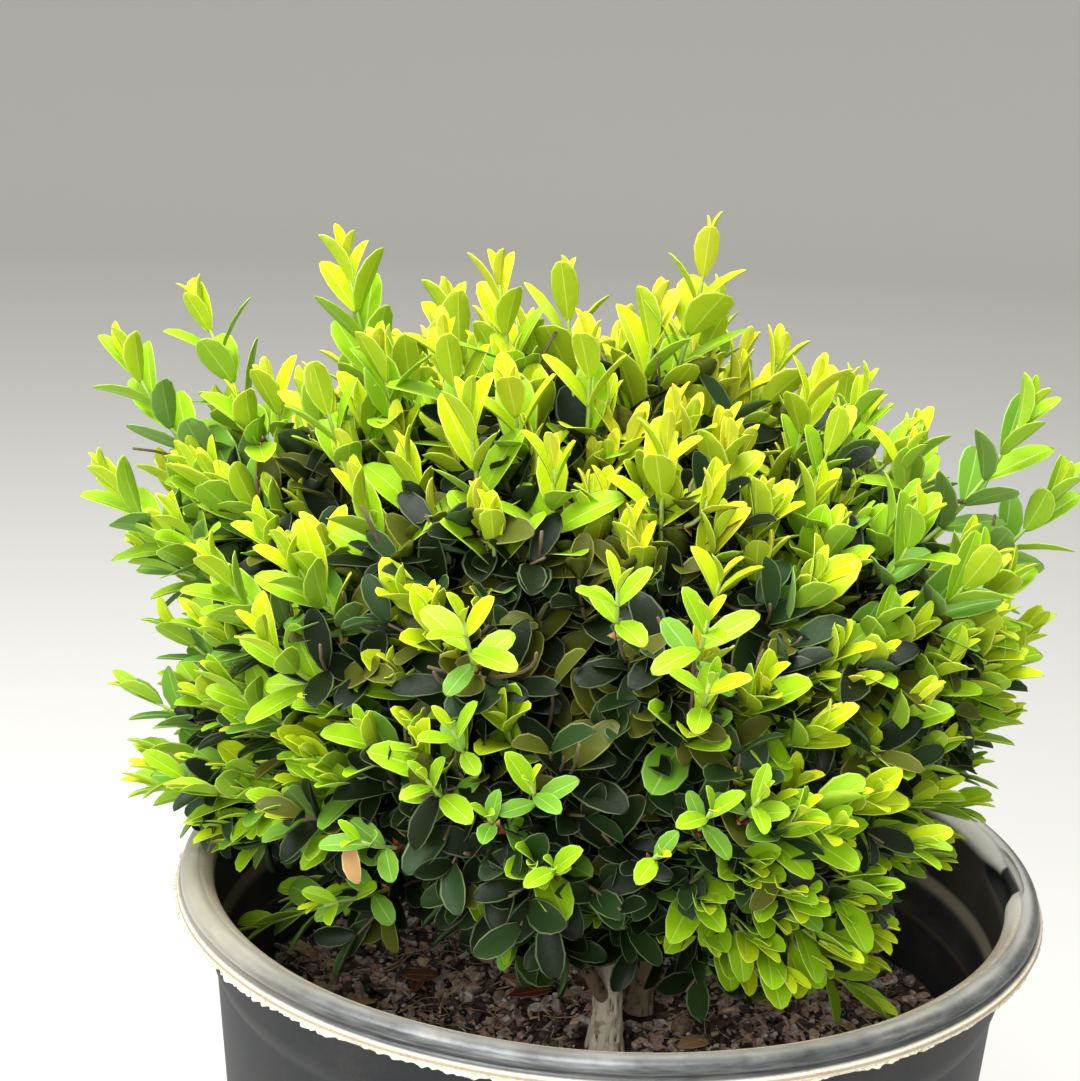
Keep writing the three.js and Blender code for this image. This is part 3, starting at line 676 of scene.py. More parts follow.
def makeLitter():
    stops = (0.35, "6e5b45"), (0.6, "a8946f"), (0.8, "c7b693")
    finishes = [
        grainyFinish("greenPrill", "1d3a2a", (800.0,), (0.2, 0.15), Roughness=0.25),
        grainyFinish("perlite", "dcdad2", (900.0,), (0.2, 0.7), Roughness=0.9),
        grainyFinish("palePebble", "9b876c", (500.0, 4.0), (0.2, 0.55), stops=stops, Roughness=0.7),
    ]
    for finish, (name, (count, rise, least, more, power, *shape)) in zip(finishes, litter.items()):
        spots = onMix(count)
        roundBits(name, spots + (0, 0, rise), least + more * dice.random(len(spots)) ** power, finish, *shape)


def makeFibres():
    # Straws that lie over the mix in a shallow arc, bent aside by chance.
    root = onMix(mix["fibres"], 14.0) + (0, 0, 2.6)
    n = len(root)
    way = polar(1, dice.random(n) * 2 * np.pi)
    long = 4 + 14 * dice.random(n) ** 1.5
    tip = root + way * long[:, None]
    tip[:, :2] *= np.minimum(1, 122 / np.hypot(tip[:, 0], tip[:, 1]))[:, None]
    tip[:, 2] = mixHeight(tip[:, 0], tip[:, 1]) + 2.0 + 2.5 * dice.random(n)
    aside = np.cross(up, way) * (long * (dice.random(n) - 0.5))[:, None]
    middle = blend(root, tip, 0.5) + aside + (0, 0, 1.5)
    radius = 0.16 + 0.22 * dice.random(n) ** 2
    points, faces = tubes(np.stack([root, middle, tip], 1) * mm, radius * mm, radius * 0.6 * mm, 4, 6)
    stops = (0.3, "7e6248"), (0.5, "c4a87e"), (0.75, "f0e0bc")
    straw = grainyFinish("paleFibre", "a98f68", (300.0,), (0.2, 0.65), stops=stops, Roughness=0.8)
    makePiece("pale_fibres", points, faces, [straw], slot="potting_mix")


makeGround()
makeChips()
makeLitter()
makeFibres()
print("potting mix")


# The wood: two stems out of the mix, a bough to each mass of foliage and the mass's own stem, as in the source.
heart = np.array([-5.0, 0, 268])
hollow = {"x": 2, "y": 2, "top": 284, "radius": 40}
stems = {
    "front": {"line": [(2, -18, 178.3), (4, -16, 228), (-6, -4, 296)], "radii": (4.9, 2.6)},
    "back": {"line": [(13, 9, 178.3), (17, 14, 220), (12, 22, 280)], "radii": (3.8, 2.4)},
}
bough = {"lowFork": 0.14, "highFork": 0.97, "radii": (2.4, 1.9), "bow": 0.14, "dip": -22}
twigStem = {"gap": 0.3, "reach": 0.6, "radii": (1.9, 1.1)}
# The bark's relief on each kind of limb: points round it, steps along it, height and seed.
relief = {"stem": (56, 190, 1.5, 10), "bough": (14, 36, 0.7, 30), "twigStem": (10, 30, 0.4, 60)}

# Each mass: azimuth, elevation, reach, and the stem that it hangs on.
masses = {
    "crown_top": (225, 82, 168, "front"),
    "upper_left": (180, 42, 188, "front"),
    "upper_front_left": (237, 46, 168, "front"),
    "upper_front_right": (293, 44, 158, "front"),
    "upper_right": (348, 41, 170, "front"),
    "upper_back_right": (52, 43, 168, "back"),
    "upper_back_left": (117, 43, 177, "back"),
    "middle_left": (195, 2, 154, "front"),
    "middle_front": (255, 7, 142, "front"),
    "middle_front_right": (309, 7, 136, "front"),
    "middle_right": (0, 14, 138, "back"),
    "middle_back_right": (58, 8, 144, "back"),
    "middle_back_left": (128, 7, 148, "back"),
    "low_left": (203, -25, 120, "front"),
    "low_front": (266, -28, 92, "front"),
    "low_right": (331, -25, 106, "front"),
    "low_back_right": (32, -25, 102, "back"),
    "low_back_left": (122, -26, 108, "back"),
}
underside = {"from": 0.4, "to": 0.75, "drawnIn": 0.45}
names = list(masses)
azimuth, elevation, reach = (np.array([masses[m][i] for m in names], float) for i in range(3))
axis = heading(azimuth, elevation)


def reachAt(way):
    # The outline: the reaches of all masses, each weighed by e^(20 (cos of its angle away - 1)), and drawn in
    # towards the stems underneath.
    weight = np.exp(20 * (way @ axis.T - 1))
    drawnIn = underside["drawnIn"] * smooth(-way[..., 2], underside["from"], underside["to"])
    return (weight @ reach) / weight.sum(-1) * (1 - drawnIn)


def beyondHollow(p):
    # How far outside the bare middle of the crown: an upright cylinder with a round top.
    across, over = (p[..., 0] - hollow["x"]) ** 2 + (p[..., 1] - hollow["y"]) ** 2, p[..., 2] - hollow["top"]
    return np.sqrt(across + np.maximum(over, 0) ** 2) - hollow["radius"]


def boughLines():
    # From the stem, the lowest mass at the lowest fork, to the edge of the hollow, with a bow down between.
    lines = []
    height = elevation + np.arange(len(names)) / 100
    for i, name in enumerate(names):
        stem = masses[name][3]
        order = [height[j] for j, other in enumerate(names) if masses[other][3] == stem]
        rank = sum(other < height[i] for other in order)
        share = blend(bough["lowFork"], bough["highFork"], rank / (len(order) - 1))
        line = np.array(stems[stem]["line"], float)
        fork = pointOn(line, evenShare(line, share))
        way = heading(azimuth[i], elevation[i] + (bough["dip"] if elevation[i] < 0 else 0))
        trail = heart + way * np.arange(0, 200, 0.5)[:, None]
        end = trail[np.argmax(beyondHollow(trail) >= 0)]
        lines.append([fork, blend(fork, end, 0.5) - up * bough["bow"] * np.linalg.norm(end - fork), end])
    return np.array(lines)


boughLine = boughLines()
onward = directionOn(boughLine, np.ones(len(names)))
stemStart = boughLine[:, 2] + onward * twigStem["gap"]
stemEnd = heart + axis * reach[:, None] * twigStem["reach"]
massStem = np.stack([stemStart, stemStart + onward * 0.5 * lengths(stemEnd - stemStart)[:, None], stemEnd], 1)


def barkLimb(kind, curve, radii, flare=0.0, seed=0):
    # A round limb that flares at its foot by e^(-t / 0.09), and whose skin stands out in long plates: its radius
    # plus the relief times ridged lumps, stretched along it. Gives its middle line, its rings and their relief.
    sides, steps, depth, firstSeed = relief[kind]
    t = np.linspace(0, 1, steps + 1)
    centre, ahead = pointOn(curve, t), directionOn(curve, t)
    side = unit(np.cross(ahead, (0.3, 1.0, 0.1)))
    over = np.cross(ahead, side)
    a = np.arange(sides) * 2 * np.pi / sides
    radius = (blend(*radii, t) * (1 + flare * np.exp(-t / 0.09)))[:, None]
    length = (lengths(np.diff(centre, axis=0)).sum() * t)[:, None]
    skin, seed = polar(radius, a, length * 0.28) + (50, 0, 0), firstSeed + seed
    height = (1 - np.abs(2 * lumps(skin, 1.9, seed) - 1)) * 0.75 + lumps(skin, 0.7, seed + 4) * 0.35
    r = radius * (1 + 0.06 * np.sin(2 * a + seed)) + depth * (height - 0.55) * np.minimum(1, radius / 4)
    ring = centre[:, None] + r[..., None] * (np.cos(a)[:, None] * side[:, None] + np.sin(a)[:, None] * over[:, None])
    return centre, ring, height


def limbShape(centre, ring):
    points, faces = polesClosed(ring * mm, centre[0] * mm, centre[-1] * mm)
    return points, [f[:, ::-1] for f in faces], [np.zeros(len(f), int) for f in faces]


def makeBark(name, limbs, finish, replaces):
    points, faces, _ = together([limbShape(centre, ring) for centre, ring, _ in limbs])
    piece = makePiece(name, points, faces, [finish], slot="bark", replaces=replaces)
    heights = np.concatenate([np.r_[height.ravel(), 0.5, 0.5] for _, _, height in limbs])
    piece.data.attributes.new("relief", "FLOAT", "POINT").data.foreach_set("value", heights.astype(np.float32))


def woodFinish(name, crack, body, pale, patch):
    finish = Finish(name, body, Roughness=0.85)
    height = finish.node("ShaderNodeAttribute", {"attribute_name": "relief"}, output="Fac")
    streak = finish.noise(finish.place((1, 1, 0.09)), 1700.0, 3.0, 0.55)
    fine = finish.noise(finish.place(), 2200.0, 3.0, 0.6)
    stain = finish.noise(finish.place(), 160.0, 3.0, 0.6).between(0.56, 0.68)
    colour = finish.ramp(height * 0.4 + streak * 0.75, (0.44, crack), (0.5, body), (0.6, pale))
    return finish.feed(
        Base_Color=finish.mix(stain * 0.7, colour, patch),
        Roughness=fine * 0.2 + 0.7,
        Normal=finish.bump(streak + fine * 0.5, 0.6, 0.0005),
    )


def makeWood():
    looks = {
        "front": woodFinish("paleFlakyBark", "46321f", "e0cfa8", "fff4da", "a87c56"),
        "back": woodFinish("brownBark", "2a1f16", "86705a", "b49e80", "5e4834"),
    }
    for i, (name, stem) in enumerate(stems.items()):
        limb = barkLimb("stem", np.array(stem["line"], float), stem["radii"], 0.35, 7 * i)
        makeBark(f"bark_stem_{name}", [limb], looks[name], [f"stem_{name}"])
    limbs = [barkLimb("bough", line, bough["radii"], seed=i) for i, line in enumerate(boughLine)]
    makeBark("bark_boughs", limbs, looks["back"], [f"bough_{name}" for name in names])


makeWood()
print("stems and boughs")


# The shoots. Each mass sends them out in a sunflower pattern round its axis, as in the source, but many more.
shoot = {
    "perMass": 47, "sparser": 130, "spread": 37, "cone": 28, "lowest": -0.72, "shortest": 60,
    "edgeDrop": 0.07, "chance": 0.20, "tipRoom": 12.0, "tipClear": 7, "pulls": np.linspace(1, 0.45, 12),
    "sideAt": (0.42, 0.60), "sideTurn": (6, 13), "sideSpan": (16, 75), "spurs": 2, "spurLength": (16, 28),
}
# For each kind of shoot: the most pairs of leaves, and of old ones past the joint, how likely it is in new leaf (a
# power and a share of what is likely there), its least and most new pairs, and the radii and steps of its twig.
growth = {
    "main": {"pairs": 15, "oldPairs": 5, "likely": (1.0, 1.0), "newPairs": (4, 7), "twig": (1.1, 0.55, 8)},
    "side": {"pairs": 9, "oldPairs": 4, "likely": (1.6, 0.97), "newPairs": (3, 6), "twig": (0.8, 0.5, 6)},
    "spur": {"pairs": 4, "oldPairs": 3, "likely": (40, 0.3), "newPairs": (2, 2), "twig": (0.6, 0.45, 3)},
}
# The long shoots that stand out of the outline: azimuth, elevation and reach. The bright rosettes low in front have
# a number of pairs as well.
leaderPairs = 8
leaders = [
    (180, 40, 210), (174, 47, 207), (176, 62, 194), (205, 76, 176), (340, 81, 184), (352, 46, 191), (356, 37, 182),
    (2, 21, 155), (355, 13, 141), (186, 31, 193), (186, 9, 160), (184, -4, 156), (190, -26, 134), (336, -30, 122),
    (72, 52, 188), (118, 32, 186), (96, 16, 162), (42, 22, 164), (321, 6, 131), (318, -8, 122), (322, -16, 119),
    (333, 9, 124), (351, 19, 142), (345, -7, 119), (296, 15, 141), (302, 13, 138), (298, 4, 130), (311, -2, 120),
    (197, 3, 151), (206, 4, 143),
]
rosettes = [
    (254, 34, 165, 4), (253, 24, 151, 3), (250, 18, 146, 4), (258, 15, 145, 2), (263, 19, 146, 3), (266, 10, 144, 2),
    (272, -7, 99, 3), (285, -13, 95, 2), (278, 12, 144, 2), (284, 17, 147, 3), (272, 39, 162, 3), (283, 36, 163, 4),
    (283, 30, 160, 3), (304, -8, 104, 4), (290, 18, 147, 3), (180, -28, 118, 6), (5, -13, 120, 5), (318, -4, 118, 4),
    (240, 8, 138, 3), (226, -8, 124, 4), (254, -17, 97, 3), (214, -15, 102, 2),
]
# The dark middle of the front: azimuth, half width, power, and the elevations where it fades. The gaps are two darker
# places among the bright sprays.
darkFront = {
    "places": [(271, 17, 4, 40, 54), (257, 26, 2, 8, 26)],
    "gaps": heading(np.array([297, 234]), np.array([38, 42])), "gapWidth": 7.5, "gapShade": 0.9,
}


def shaded(way):
    # From 0 to 1 in the middle of the front, below the bright top: mostly last year's leaves, with gaps between.
    a, e = np.degrees(np.arctan2(way[..., 1], way[..., 0])) % 360, np.degrees(np.arcsin(way[..., 2]))
    parts = [np.exp(-(((a - at) / width) ** power)) * (1 - smooth(e, low, high))
             for at, width, power, low, high in darkFront["places"]]
    off = np.degrees(np.arccos(np.clip(way @ darkFront["gaps"].T, -1, 1)))
    gaps = darkFront["gapShade"] * np.exp(-((off / darkFront["gapWidth"]) ** 2)).max(-1)
    return np.max([*parts, gaps], axis=0)


def freshAt(way):
    # The share of shoots in new leaf: nearly all, but few in the shaded front and fewer underneath.
    e = np.degrees(np.arcsin(way[:, 2]))
    return 0.96 - 0.88 * shaded(way) - 0.2 * (1 - shaded(way)) * (1 - smooth(e, -38, -8))


def aboveUnderside(p):
    # The crown's underside, in millimetres, is lowest over the stems. It rises towards the front and the sides.
    return p[..., 2] > 195 + 0.45 * np.maximum(-p[..., 1], 0) + 40 * smooth(np.abs(p[..., 0] - 30), 58, 96)


def clearOfPot(p, margin):
    # Above the rim, or inside it and above the mix.
    inside = np.hypot(p[..., 0], p[..., 1]) < potInner(p[..., 2]) - margin
    return (p[..., 2] > 241 + margin) | (inside & (p[..., 2] > 183 + margin))


def ownCell(way, i):
    # True where a direction is nearer to its own mass's axis than to any other's.
    near = way @ axis.T
    return near[np.arange(len(way)), i] >= near.max(-1) - 0.012


def risen(way):
    # The direction in which a shoot ends: it turns up from its way, the more so the higher it grows.
    e = np.degrees(np.arcsin(way[:, 2]))
    share = np.interp(e, [-45, -5, 15, 45, 90], [0.06, 0.20, 0.38, 0.55, 0.5])[:, None]
    return unit(way * (1 - share) + up * share)


def mainShoots():
    # The k-th of n shoots stands sqrt((k + 0.35) / n) of the way out from its mass's axis, a golden angle on from the
    # last one. The leaders and rosettes follow. Each is pulled in until its tip is clear of the pot.
    k = np.arange(shoot["perMass"])
    share = np.sqrt((k + 0.35) / len(k))
    i = np.repeat(np.arange(len(names)), len(k))
    k, share = np.tile(k, len(names)), np.tile(share, len(names))
    tilt, turn = np.tan(np.radians(shoot["spread"] * share)), k * goldenAngle + i
    side = unit(np.cross(up, axis[i]))
    over = np.cross(axis[i], side)
    way = unit(axis[i] + side * (tilt * np.cos(turn))[:, None] + over * (tilt * np.sin(turn))[:, None])
    drop = shoot["edgeDrop"] * share**2 + shoot["chance"] * scatter(i * 31 + k)
    fresh = dice.random(len(i)) < freshAt(way)
    far = reachAt(way) * (0.99 - drop) * np.where(fresh, 1, 0.80 + 0.12 * dice.random(len(i)))
    dense = dice.random(len(i)) < (reachAt(way) / shoot["sparser"]) ** 2
    kept = ownCell(way, i) & (way[:, 2] > shoot["lowest"]) & dense
    i, way, far, share, fresh = (g[kept] for g in (i, way, far, share * shoot["spread"] / shoot["cone"], fresh))

    lead = np.array([(*one, leaderPairs) for one in leaders] + rosettes, float)
    leadWay = heading(lead[:, 0], lead[:, 1])
    leadMass = np.argmax(leadWay @ axis.T, -1)
    leadOff = np.degrees(np.arccos(np.clip(dot(leadWay, axis[leadMass])[:, 0], -1, 1)))
    grown = np.r_[np.zeros(len(i), int), lead[:, 3].astype(int)]
    i, way, far = np.r_[i, leadMass], np.concatenate([way, leadWay]), np.r_[far, lead[:, 2]]
    share, fresh, leader = np.r_[share, leadOff / shoot["cone"]], np.r_[fresh, np.ones(len(lead), bool)], grown > 0

    root = pointOn(massStem[i], np.where(far < 80, 0.12, blend(0.85, 0.45, np.minimum(share, 1))))
    tips = heart + way[:, None] * ((far[:, None] * shoot["pulls"]) - shoot["tipRoom"])[..., None]
    fits = clearOfPot(tips, shoot["tipClear"])
    far = far * shoot["pulls"][np.argmax(fits, 1)]
    kept = fits.any(1) & (far > shoot["shortest"]) & (leader | aboveUnderside(heart + way * far[:, None]))
    tip = heart + way * (far - shoot["tipRoom"])[:, None]
    middle = tip - risen(way) * 0.5 * lengths(tip - root)[:, None]
    shoots = {"curve": np.stack([root, middle, tip], 1), "mass": i, "leader": leader, "fresh": fresh,
              "grown": grown, "way": way, "far": far}
    return {key: value[kept] for key, value in shoots.items()}


def shootsFrom(main, found):
    # The rounds of shoots that branch from the main ones, each a root, a middle, a tip, a way and which to keep.
    rounds = [(np.stack([root, middle, tip], 1)[kept], way[kept], main["mass"][kept])
              for root, middle, tip, way, kept in found]
    curve, way, mass = (np.concatenate(group) for group in zip(*rounds))
    return {"curve": curve, "way": way, "mass": mass, "grown": np.zeros(len(mass), int)}


def sideShoots(main):
    found, count = [], len(main["mass"])
    for n, at in enumerate(shoot["sideAt"]):
        t = at + 0.12 * (dice.random(count) - 0.5)
        root, ahead = pointOn(main["curve"], t), directionOn(main["curve"], t)
        turn = (np.arange(count) * goldenAngle + 2.4 * n)[:, None]
        side = unit(np.cross(ahead, aslant))
        over = np.cross(ahead, side)
        swing = np.tan(np.radians(blend(*shoot["sideTurn"], dice.random(count))))[:, None]
        way = unit(main["way"] + swing * (side * np.cos(turn) + over * np.sin(turn)))
        far = np.minimum(reachAt(way) * (0.96 - 0.20 * dice.random(count)), main["far"] * 0.97)
        tip = heart + way * (far - shoot["tipRoom"])[:, None]
        span, (shortest, longest) = lengths(tip - root), shoot["sideSpan"]
        kept = ownCell(way, main["mass"]) & clearOfPot(tip, shoot["tipClear"]) & aboveUnderside(tip)
        middle = tip - unit(risen(way) + ahead * 0.4) * (span * 0.5)[:, None]
        found.append((root, middle, tip, way, kept & (span > shortest) & (span < longest)))
    return shootsFrom(main, found)


def spurShoots(main):
    found, count = [], len(main["mass"])
    for _ in range(shoot["spurs"]):
        t = 0.18 + 0.42 * dice.random(count)
        root, ahead = pointOn(main["curve"], t), directionOn(main["curve"], t)
        around = unit(dice.normal(size=(count, 3)))
        around = unit(around - ahead * dot(around, ahead))
        way = unit(around + ahead * 0.7 + main["way"] * 0.5 + up * 0.2)
        span = blend(*shoot["spurLength"], dice.random(count))[:, None]
        tip = root + way * span
        kept = clearOfPot(tip, 6) & (beyondHollow(tip) > -6) & (aboveUnderside(tip) | main["leader"])
        found.append((root, blend(root, tip, 0.5) + ahead * (span * 0.15), tip, way, kept))
    return shootsFrom(main, found)


# The leaves, in millimetres. A pair of new ones goes by its number from the tip, a pair of old ones by how many are
# past the joint: how far it leans out in degrees, its size, its width, and its age in the list of tints.
leaf = {
    "length": 20.0, "width": 0.48, "thick": 0.26, "gap": 9.6, "oldGap": 7.2, "joint": 3.0, "scale": 3.4,
    "newLean": ([0, 1, 2, 3, 5], [6, 17, 27, 35, 43]), "oldLean": ([0, 1, 4, 8], [38, 48, 58, 66]),
    "rosetteLean": ([0, 1, 2], [8, 26, 40]), "newWidth": ([0, 1, 3], [0.68, 0.86, 1.0]),
    "newSize": ([0, 1, 2, 3], [0.62, 0.86, 1.0, 1.08]), "oldSize": ([0, 1, 3], [0.7, 0.84, 0.94]),
    "newAge": ([0, 1, 2, 3, 6], [0, 0.5, 1.05, 1.45, 2.0]), "fold": ([0, 2, 5], [0.55, 0.3, 0.05]),
}
fallen = {"placed": [(-20, 22), (30, -14), (-63, 16)], "count": 26, "tilt": 28}
# The bright tip and young blades also stand in for light shining through the thin new leaves: painted light.
leafTints = {  # blade, underside, and the paler edge and midrib
    "tip": ("ccce22", "c2c834", "dcdc5c"),
    "young": ("b4ca12", "acc428", "ccda58"),
    "fresh": ("8eba16", "94b832", "b2ce54"),
    "mature": ("6a9a2c", "7a9c4e", "90b45c"),
    "old": ("263c1b", "42582f", "64764a"),
    "deep": ("141f0c", "28331e", "525f42"),
    "olive": ("50561a", "5c6220", "84843e"),
    "bronze": ("6a3420", "5c4630", "8f7650"),
    "dead": ("b48e5c", "a8885e", "d8b888"),
}
ages = list(leafTints)
mature, deep, olive, bronze, dead = (ages.index(age) for age in ("mature", "deep", "olive", "bronze", "dead"))


def leafFinishes():
    finishes = []
    for age, colours in leafTints.items():
        for part, colour in zip(("Blade", "Under", "Edge"), colours):
            rough = 0.62 if part == "Under" or age == "dead" else 0.42
            finish = grainyFinish(f"{age}{part}", colour, (520.0, 3.0, 0.6), (0.24, rough - 0.12), (0.22, 0.0005),
                                  Roughness=rough, Specular_IOR_Level=0.15)
            finishes.append(finish)
    return finishes


def leafForm(rows, top, under):
    # A closed blade on a grid of u from root to tip and v once round it, over the top and back underneath, with the
    # side each point is on. A face is 0 on the blade, 1 on the underside and 2 on the edge and the midrib.
    v, rows = np.r_[top, under[::-1]], np.array(rows)
    side = np.r_[0, np.ones(len(top) - 2), 0, -np.ones(len(under))]
    r, c = len(rows) - 2, len(v)
    at = np.arange(r * c).reshape(r, c)
    beside = np.roll(at, -1, axis=1)
    quads = np.stack([at[:-1], beside[:-1], beside[1:], at[1:]], -1).reshape(-1, 4)
    root, tip = np.full(c, r * c), np.full(c, r * c + 1)
    ends = np.concatenate([np.stack([at[0], root, beside[0]], -1), np.stack([beside[-1], tip, at[-1]], -1)])
    middle, below = np.abs(v + np.roll(v, -1)) / 2, side + np.roll(side, -1) < 0
    strip = np.where((middle > 0.9) | (middle < 0.02), 2, np.where(below, 1, 0))
    return {
        "u": np.r_[np.repeat(rows[1:-1], c), 0, 1], "v": np.r_[np.tile(v, r), 0, 0],
        "side": np.r_[np.tile(side, r), 0, 0],
        "faces": [quads, ends], "parts": [np.tile(strip, r - 1), np.tile(strip, 2)],
    }


plainLeaf = leafForm([0, 0.1, 0.34, 0.62, 0.84, 0.96, 1], [-1, -0.87, 0, 0.87, 1], [0.0])
fullLeaf = leafForm([0, 0.09, 0.3, 0.56, 0.8, 0.95, 1], [-1, -0.9, -0.05, 0.05, 0.9, 1], [-0.9, -0.05, 0.05, 0.9])
scaleLeaf = leafForm([0, 0.45, 1], [-1, 0, 1], [0.0])


def leafPoints(form, leaves):
    # Half width w(u) = u^0.8 (1-u)^0.58, scaled to 1 at its widest. The blade folds up from its midrib by fold |v| w,
    # and curls down along its length on an arc of curl radians.
    u, v = form["u"], form["v"]
    w = u**0.8 * (1 - u) ** 0.58 / 0.3911
    long, wide = leaves["length"][:, None], (leaves["length"] * leaves["width"] / 2)[:, None]
    curl = np.where(np.abs(leaves["curl"]) < 0.02, 0.02, leaves["curl"])[:, None]
    forward = long * np.sin(curl * u) / curl
    rise = -long * (1 - np.cos(curl * u)) / curl
    rise = rise + wide * w * (leaves["fold"][:, None] * np.abs(v) ** 1.3 + leaves["twist"][:, None] * v * u)
    rise = rise + form["side"] * leaf["thick"] / 2
    points = leaves["root"][:, None] + forward[..., None] * leaves["along"][:, None]
    return points + (wide * w * v)[..., None] * leaves["across"][:, None] + rise[..., None] * leaves["out"][:, None]


def leafShape(form, points, age):
    which = [(age[:, None] * 3 + part).ravel() for part in form["parts"]]
    return points.reshape(-1, 3) * mm, copies(form["faces"], *points.shape[:2]), which


def newLength(stretch, j):
    # How far the j-th pair of new leaves stands from the tip: the first ones close, then a gap apart.
    return 0.6 + leaf["gap"] * (0.82 + 0.36 * stretch) * (j - 0.6 * (1 - np.exp(-j / 1.2)))


def dressShoots(shoots, kind):
    # Whether each shoot is in new leaf, how many pairs of it, and what share of its length that takes.
    n, grown, rule = len(shoots["mass"]), shoots["grown"], growth[kind]
    shoots["out"] = unit(shoots["curve"][:, 2] - heart)
    x, z = shoots["out"][:, 0], shoots["out"][:, 2]
    power, share = rule["likely"]
    fresh = shoots["fresh"] if kind == "main" else dice.random(n) < freshAt(shoots["out"]) ** power * share
    pairs = np.where(grown > 0, grown, dice.integers(*rule["newPairs"], n, endpoint=True))
    rosette = (grown > 0) & (grown < 5)
    shoots["stretch"] = np.where(grown > 4, 0.7, np.where(rosette, 0.1, dice.random(n)))
    span = lengthOf(shoots["curve"])
    for _ in range(4):
        pairs = np.where((newLength(shoots["stretch"], pairs) > 0.8 * span) & (pairs > 2), pairs - 1, pairs)
    shoots["flush"] = np.where(fresh, pairs, 0)
    shoots["bright"] = np.where(fresh, newLength(shoots["stretch"], pairs) / span, 0).clip(0, 0.95)
    # New leaves are greener low down, in the rosettes and on both sides, and yellower on the top. Low down and on the
    # upper right, their darker tints are painted shade as well.
    low = 0.95 * (1 - smooth(z, 0.1, 0.62)) * (1 - 0.15 * smooth(x, 0.2, 0.6))
    greenerAndShaded = (0.75 * smooth(x, 0.3, 0.6) * smooth(z, 0.4, 0.6) + 0.4 * smooth(-x, 0.3, 0.6) * smooth(z, 0.1, 0.4)
               - 0.3 * smooth(z, 0.7, 0.9))
    newShade = 0.1 + 0.6 * dice.random(n) + low + 0.65 * rosette + greenerAndShaded
    shoots["shade"] = np.where(fresh, newShade, 0.3 + dice.random(n))
    shoots["turn"] = dice.random(n) * np.pi
    size = np.where(grown > 6, 0.98, np.where(rosette, 0.64, 0.9) + 0.2 * dice.random(n))
    shoots["size"] = (1 + 0.1 * smooth(z, 0.2, 0.6)) * size


def leavesOn(shoots, kind):
    # Crossed pairs along each shoot, from its tip inwards: the new ones bright and held forward, and then, past the
    # joint where last year's growth ends, older ones that open wider and stand closer.
    every = np.arange(len(shoots["mass"])), np.arange(growth[kind]["pairs"]), (-1, 1)
    s, j, sign = (g.ravel() for g in np.meshgrid(*every, indexing="ij"))
    flush, past = shoots["flush"][s], np.maximum(j - shoots["flush"][s], 0)
    back = newLength(shoots["stretch"][s], np.minimum(j, flush)) + past * leaf["oldGap"]
    t = 1 - (back + (flush > 0) * (past > 0) * leaf["joint"]) / lengthOf(shoots["curve"])[s]
    kept = (t > 0.05) & ((flush == 0) | (j != flush) & (past < growth[kind]["oldPairs"]))
    s, j, sign, t, flush, past = (g[kept] for g in (s, j, sign, t, flush, past))
    own, n = {key: value[s] for key, value in shoots.items()}, len(s)
    new, base, high = past + (j == flush) == 0, j == flush - 1, own["out"][:, 2]
    root, ahead = pointOn(own["curve"], t), directionOn(own["curve"], t)

    # Old leaves show only near the outside, and are fewer in the shaded front.
    outwards = root - heart
    depth = lengths(outwards) / reachAt(unit(outwards))
    shown = (depth > 0.48) & (depth < 0.86 - 0.10 * smooth(high, 0.3, 0.6))
    shown = new | shown & (dice.random(n) > 0.08 + 0.38 * shaded(unit(outwards)))

    # Each stands to its side of the shoot, leans out, strays a little and turns its face up and outwards.
    level = 1 - np.abs(ahead[:, 2:])
    side = unit(np.cross(up, ahead) + 1e-4)
    over = np.cross(ahead, side)
    turn = (own["turn"] + j * np.pi / 2 + 0.3 * (dice.random(n) - 0.5))[:, None]
    offset = unit(side * np.cos(turn) + over * np.sin(turn) * (1 - 0.5 * level)) * sign[:, None]
    lean = np.where(new, np.interp(j, *leaf["newLean"]), np.interp(past, *leaf["oldLean"]))
    lean = lean + ((own["grown"] > 0) & (own["grown"] < 5) & new) * np.interp(j, *leaf["rosetteLean"])
    lean = np.radians(lean + np.where(new, 12, 24) * (dice.random(n) - 0.5))[:, None]
    stray = np.where(new, 0.08, 0.13)[:, None] * dice.normal(size=(n, 3))
    along = unit(ahead * np.cos(lean) + offset * np.sin(lean) + stray + up * 0.10 * level)
    faceTo = ahead * (0.75 - 0.4 * level) + up * (0.3 + 0.5 * level) + own["out"] * 0.25 - offset * 0.12 + stray
    out = unit(faceTo - along * dot(faceTo, along))

    size = np.where(new, np.interp(j, *leaf["newSize"]), np.interp(past, *leaf["oldSize"]))
    size = size * np.where(base & (flush > 2), 0.78, 1) * (0.87 + 0.26 * dice.random(n)) * own["size"]
    wide = np.where(new, np.interp(j, *leaf["newWidth"]), 1.1) + 0.12 * base - 0.1 * ~new
    age = np.where(new, np.interp(j, *leaf["newAge"]), 3.6 + 0.25 * past) + own["shade"]
    age = np.rint(age + 0.9 * (dice.random(n) - 0.5)).clip(0, np.where(new, mature, deep)).astype(int)
    chance = dice.random(n)
    age = np.where(~new & (dice.random(n) < 0.05 + 0.32 * smooth(high, 0.15, 0.6)), olive, age)
    age = np.where(~new & (chance < 0.002), bronze, np.where(~new & (chance > 0.996), dead, age))
    leaves = {
        "root": root - along * 0.2, "along": along, "across": np.cross(along, out), "out": out, "mass": own["mass"],
        "length": leaf["length"] * size, "width": leaf["width"] * wide * (0.92 + 0.16 * dice.random(n)),
        "curl": 0.05 + 0.4 * dice.random(n), "fold": np.interp(j, *leaf["fold"]) + 0.25 * (dice.random(n) - 0.5),
        "twist": 0.25 * (dice.random(n) - 0.5), "age": age, "form": np.where(new & (kind != "spur"), 1, 0),
    }
    return {key: value[shown] for key, value in leaves.items()}


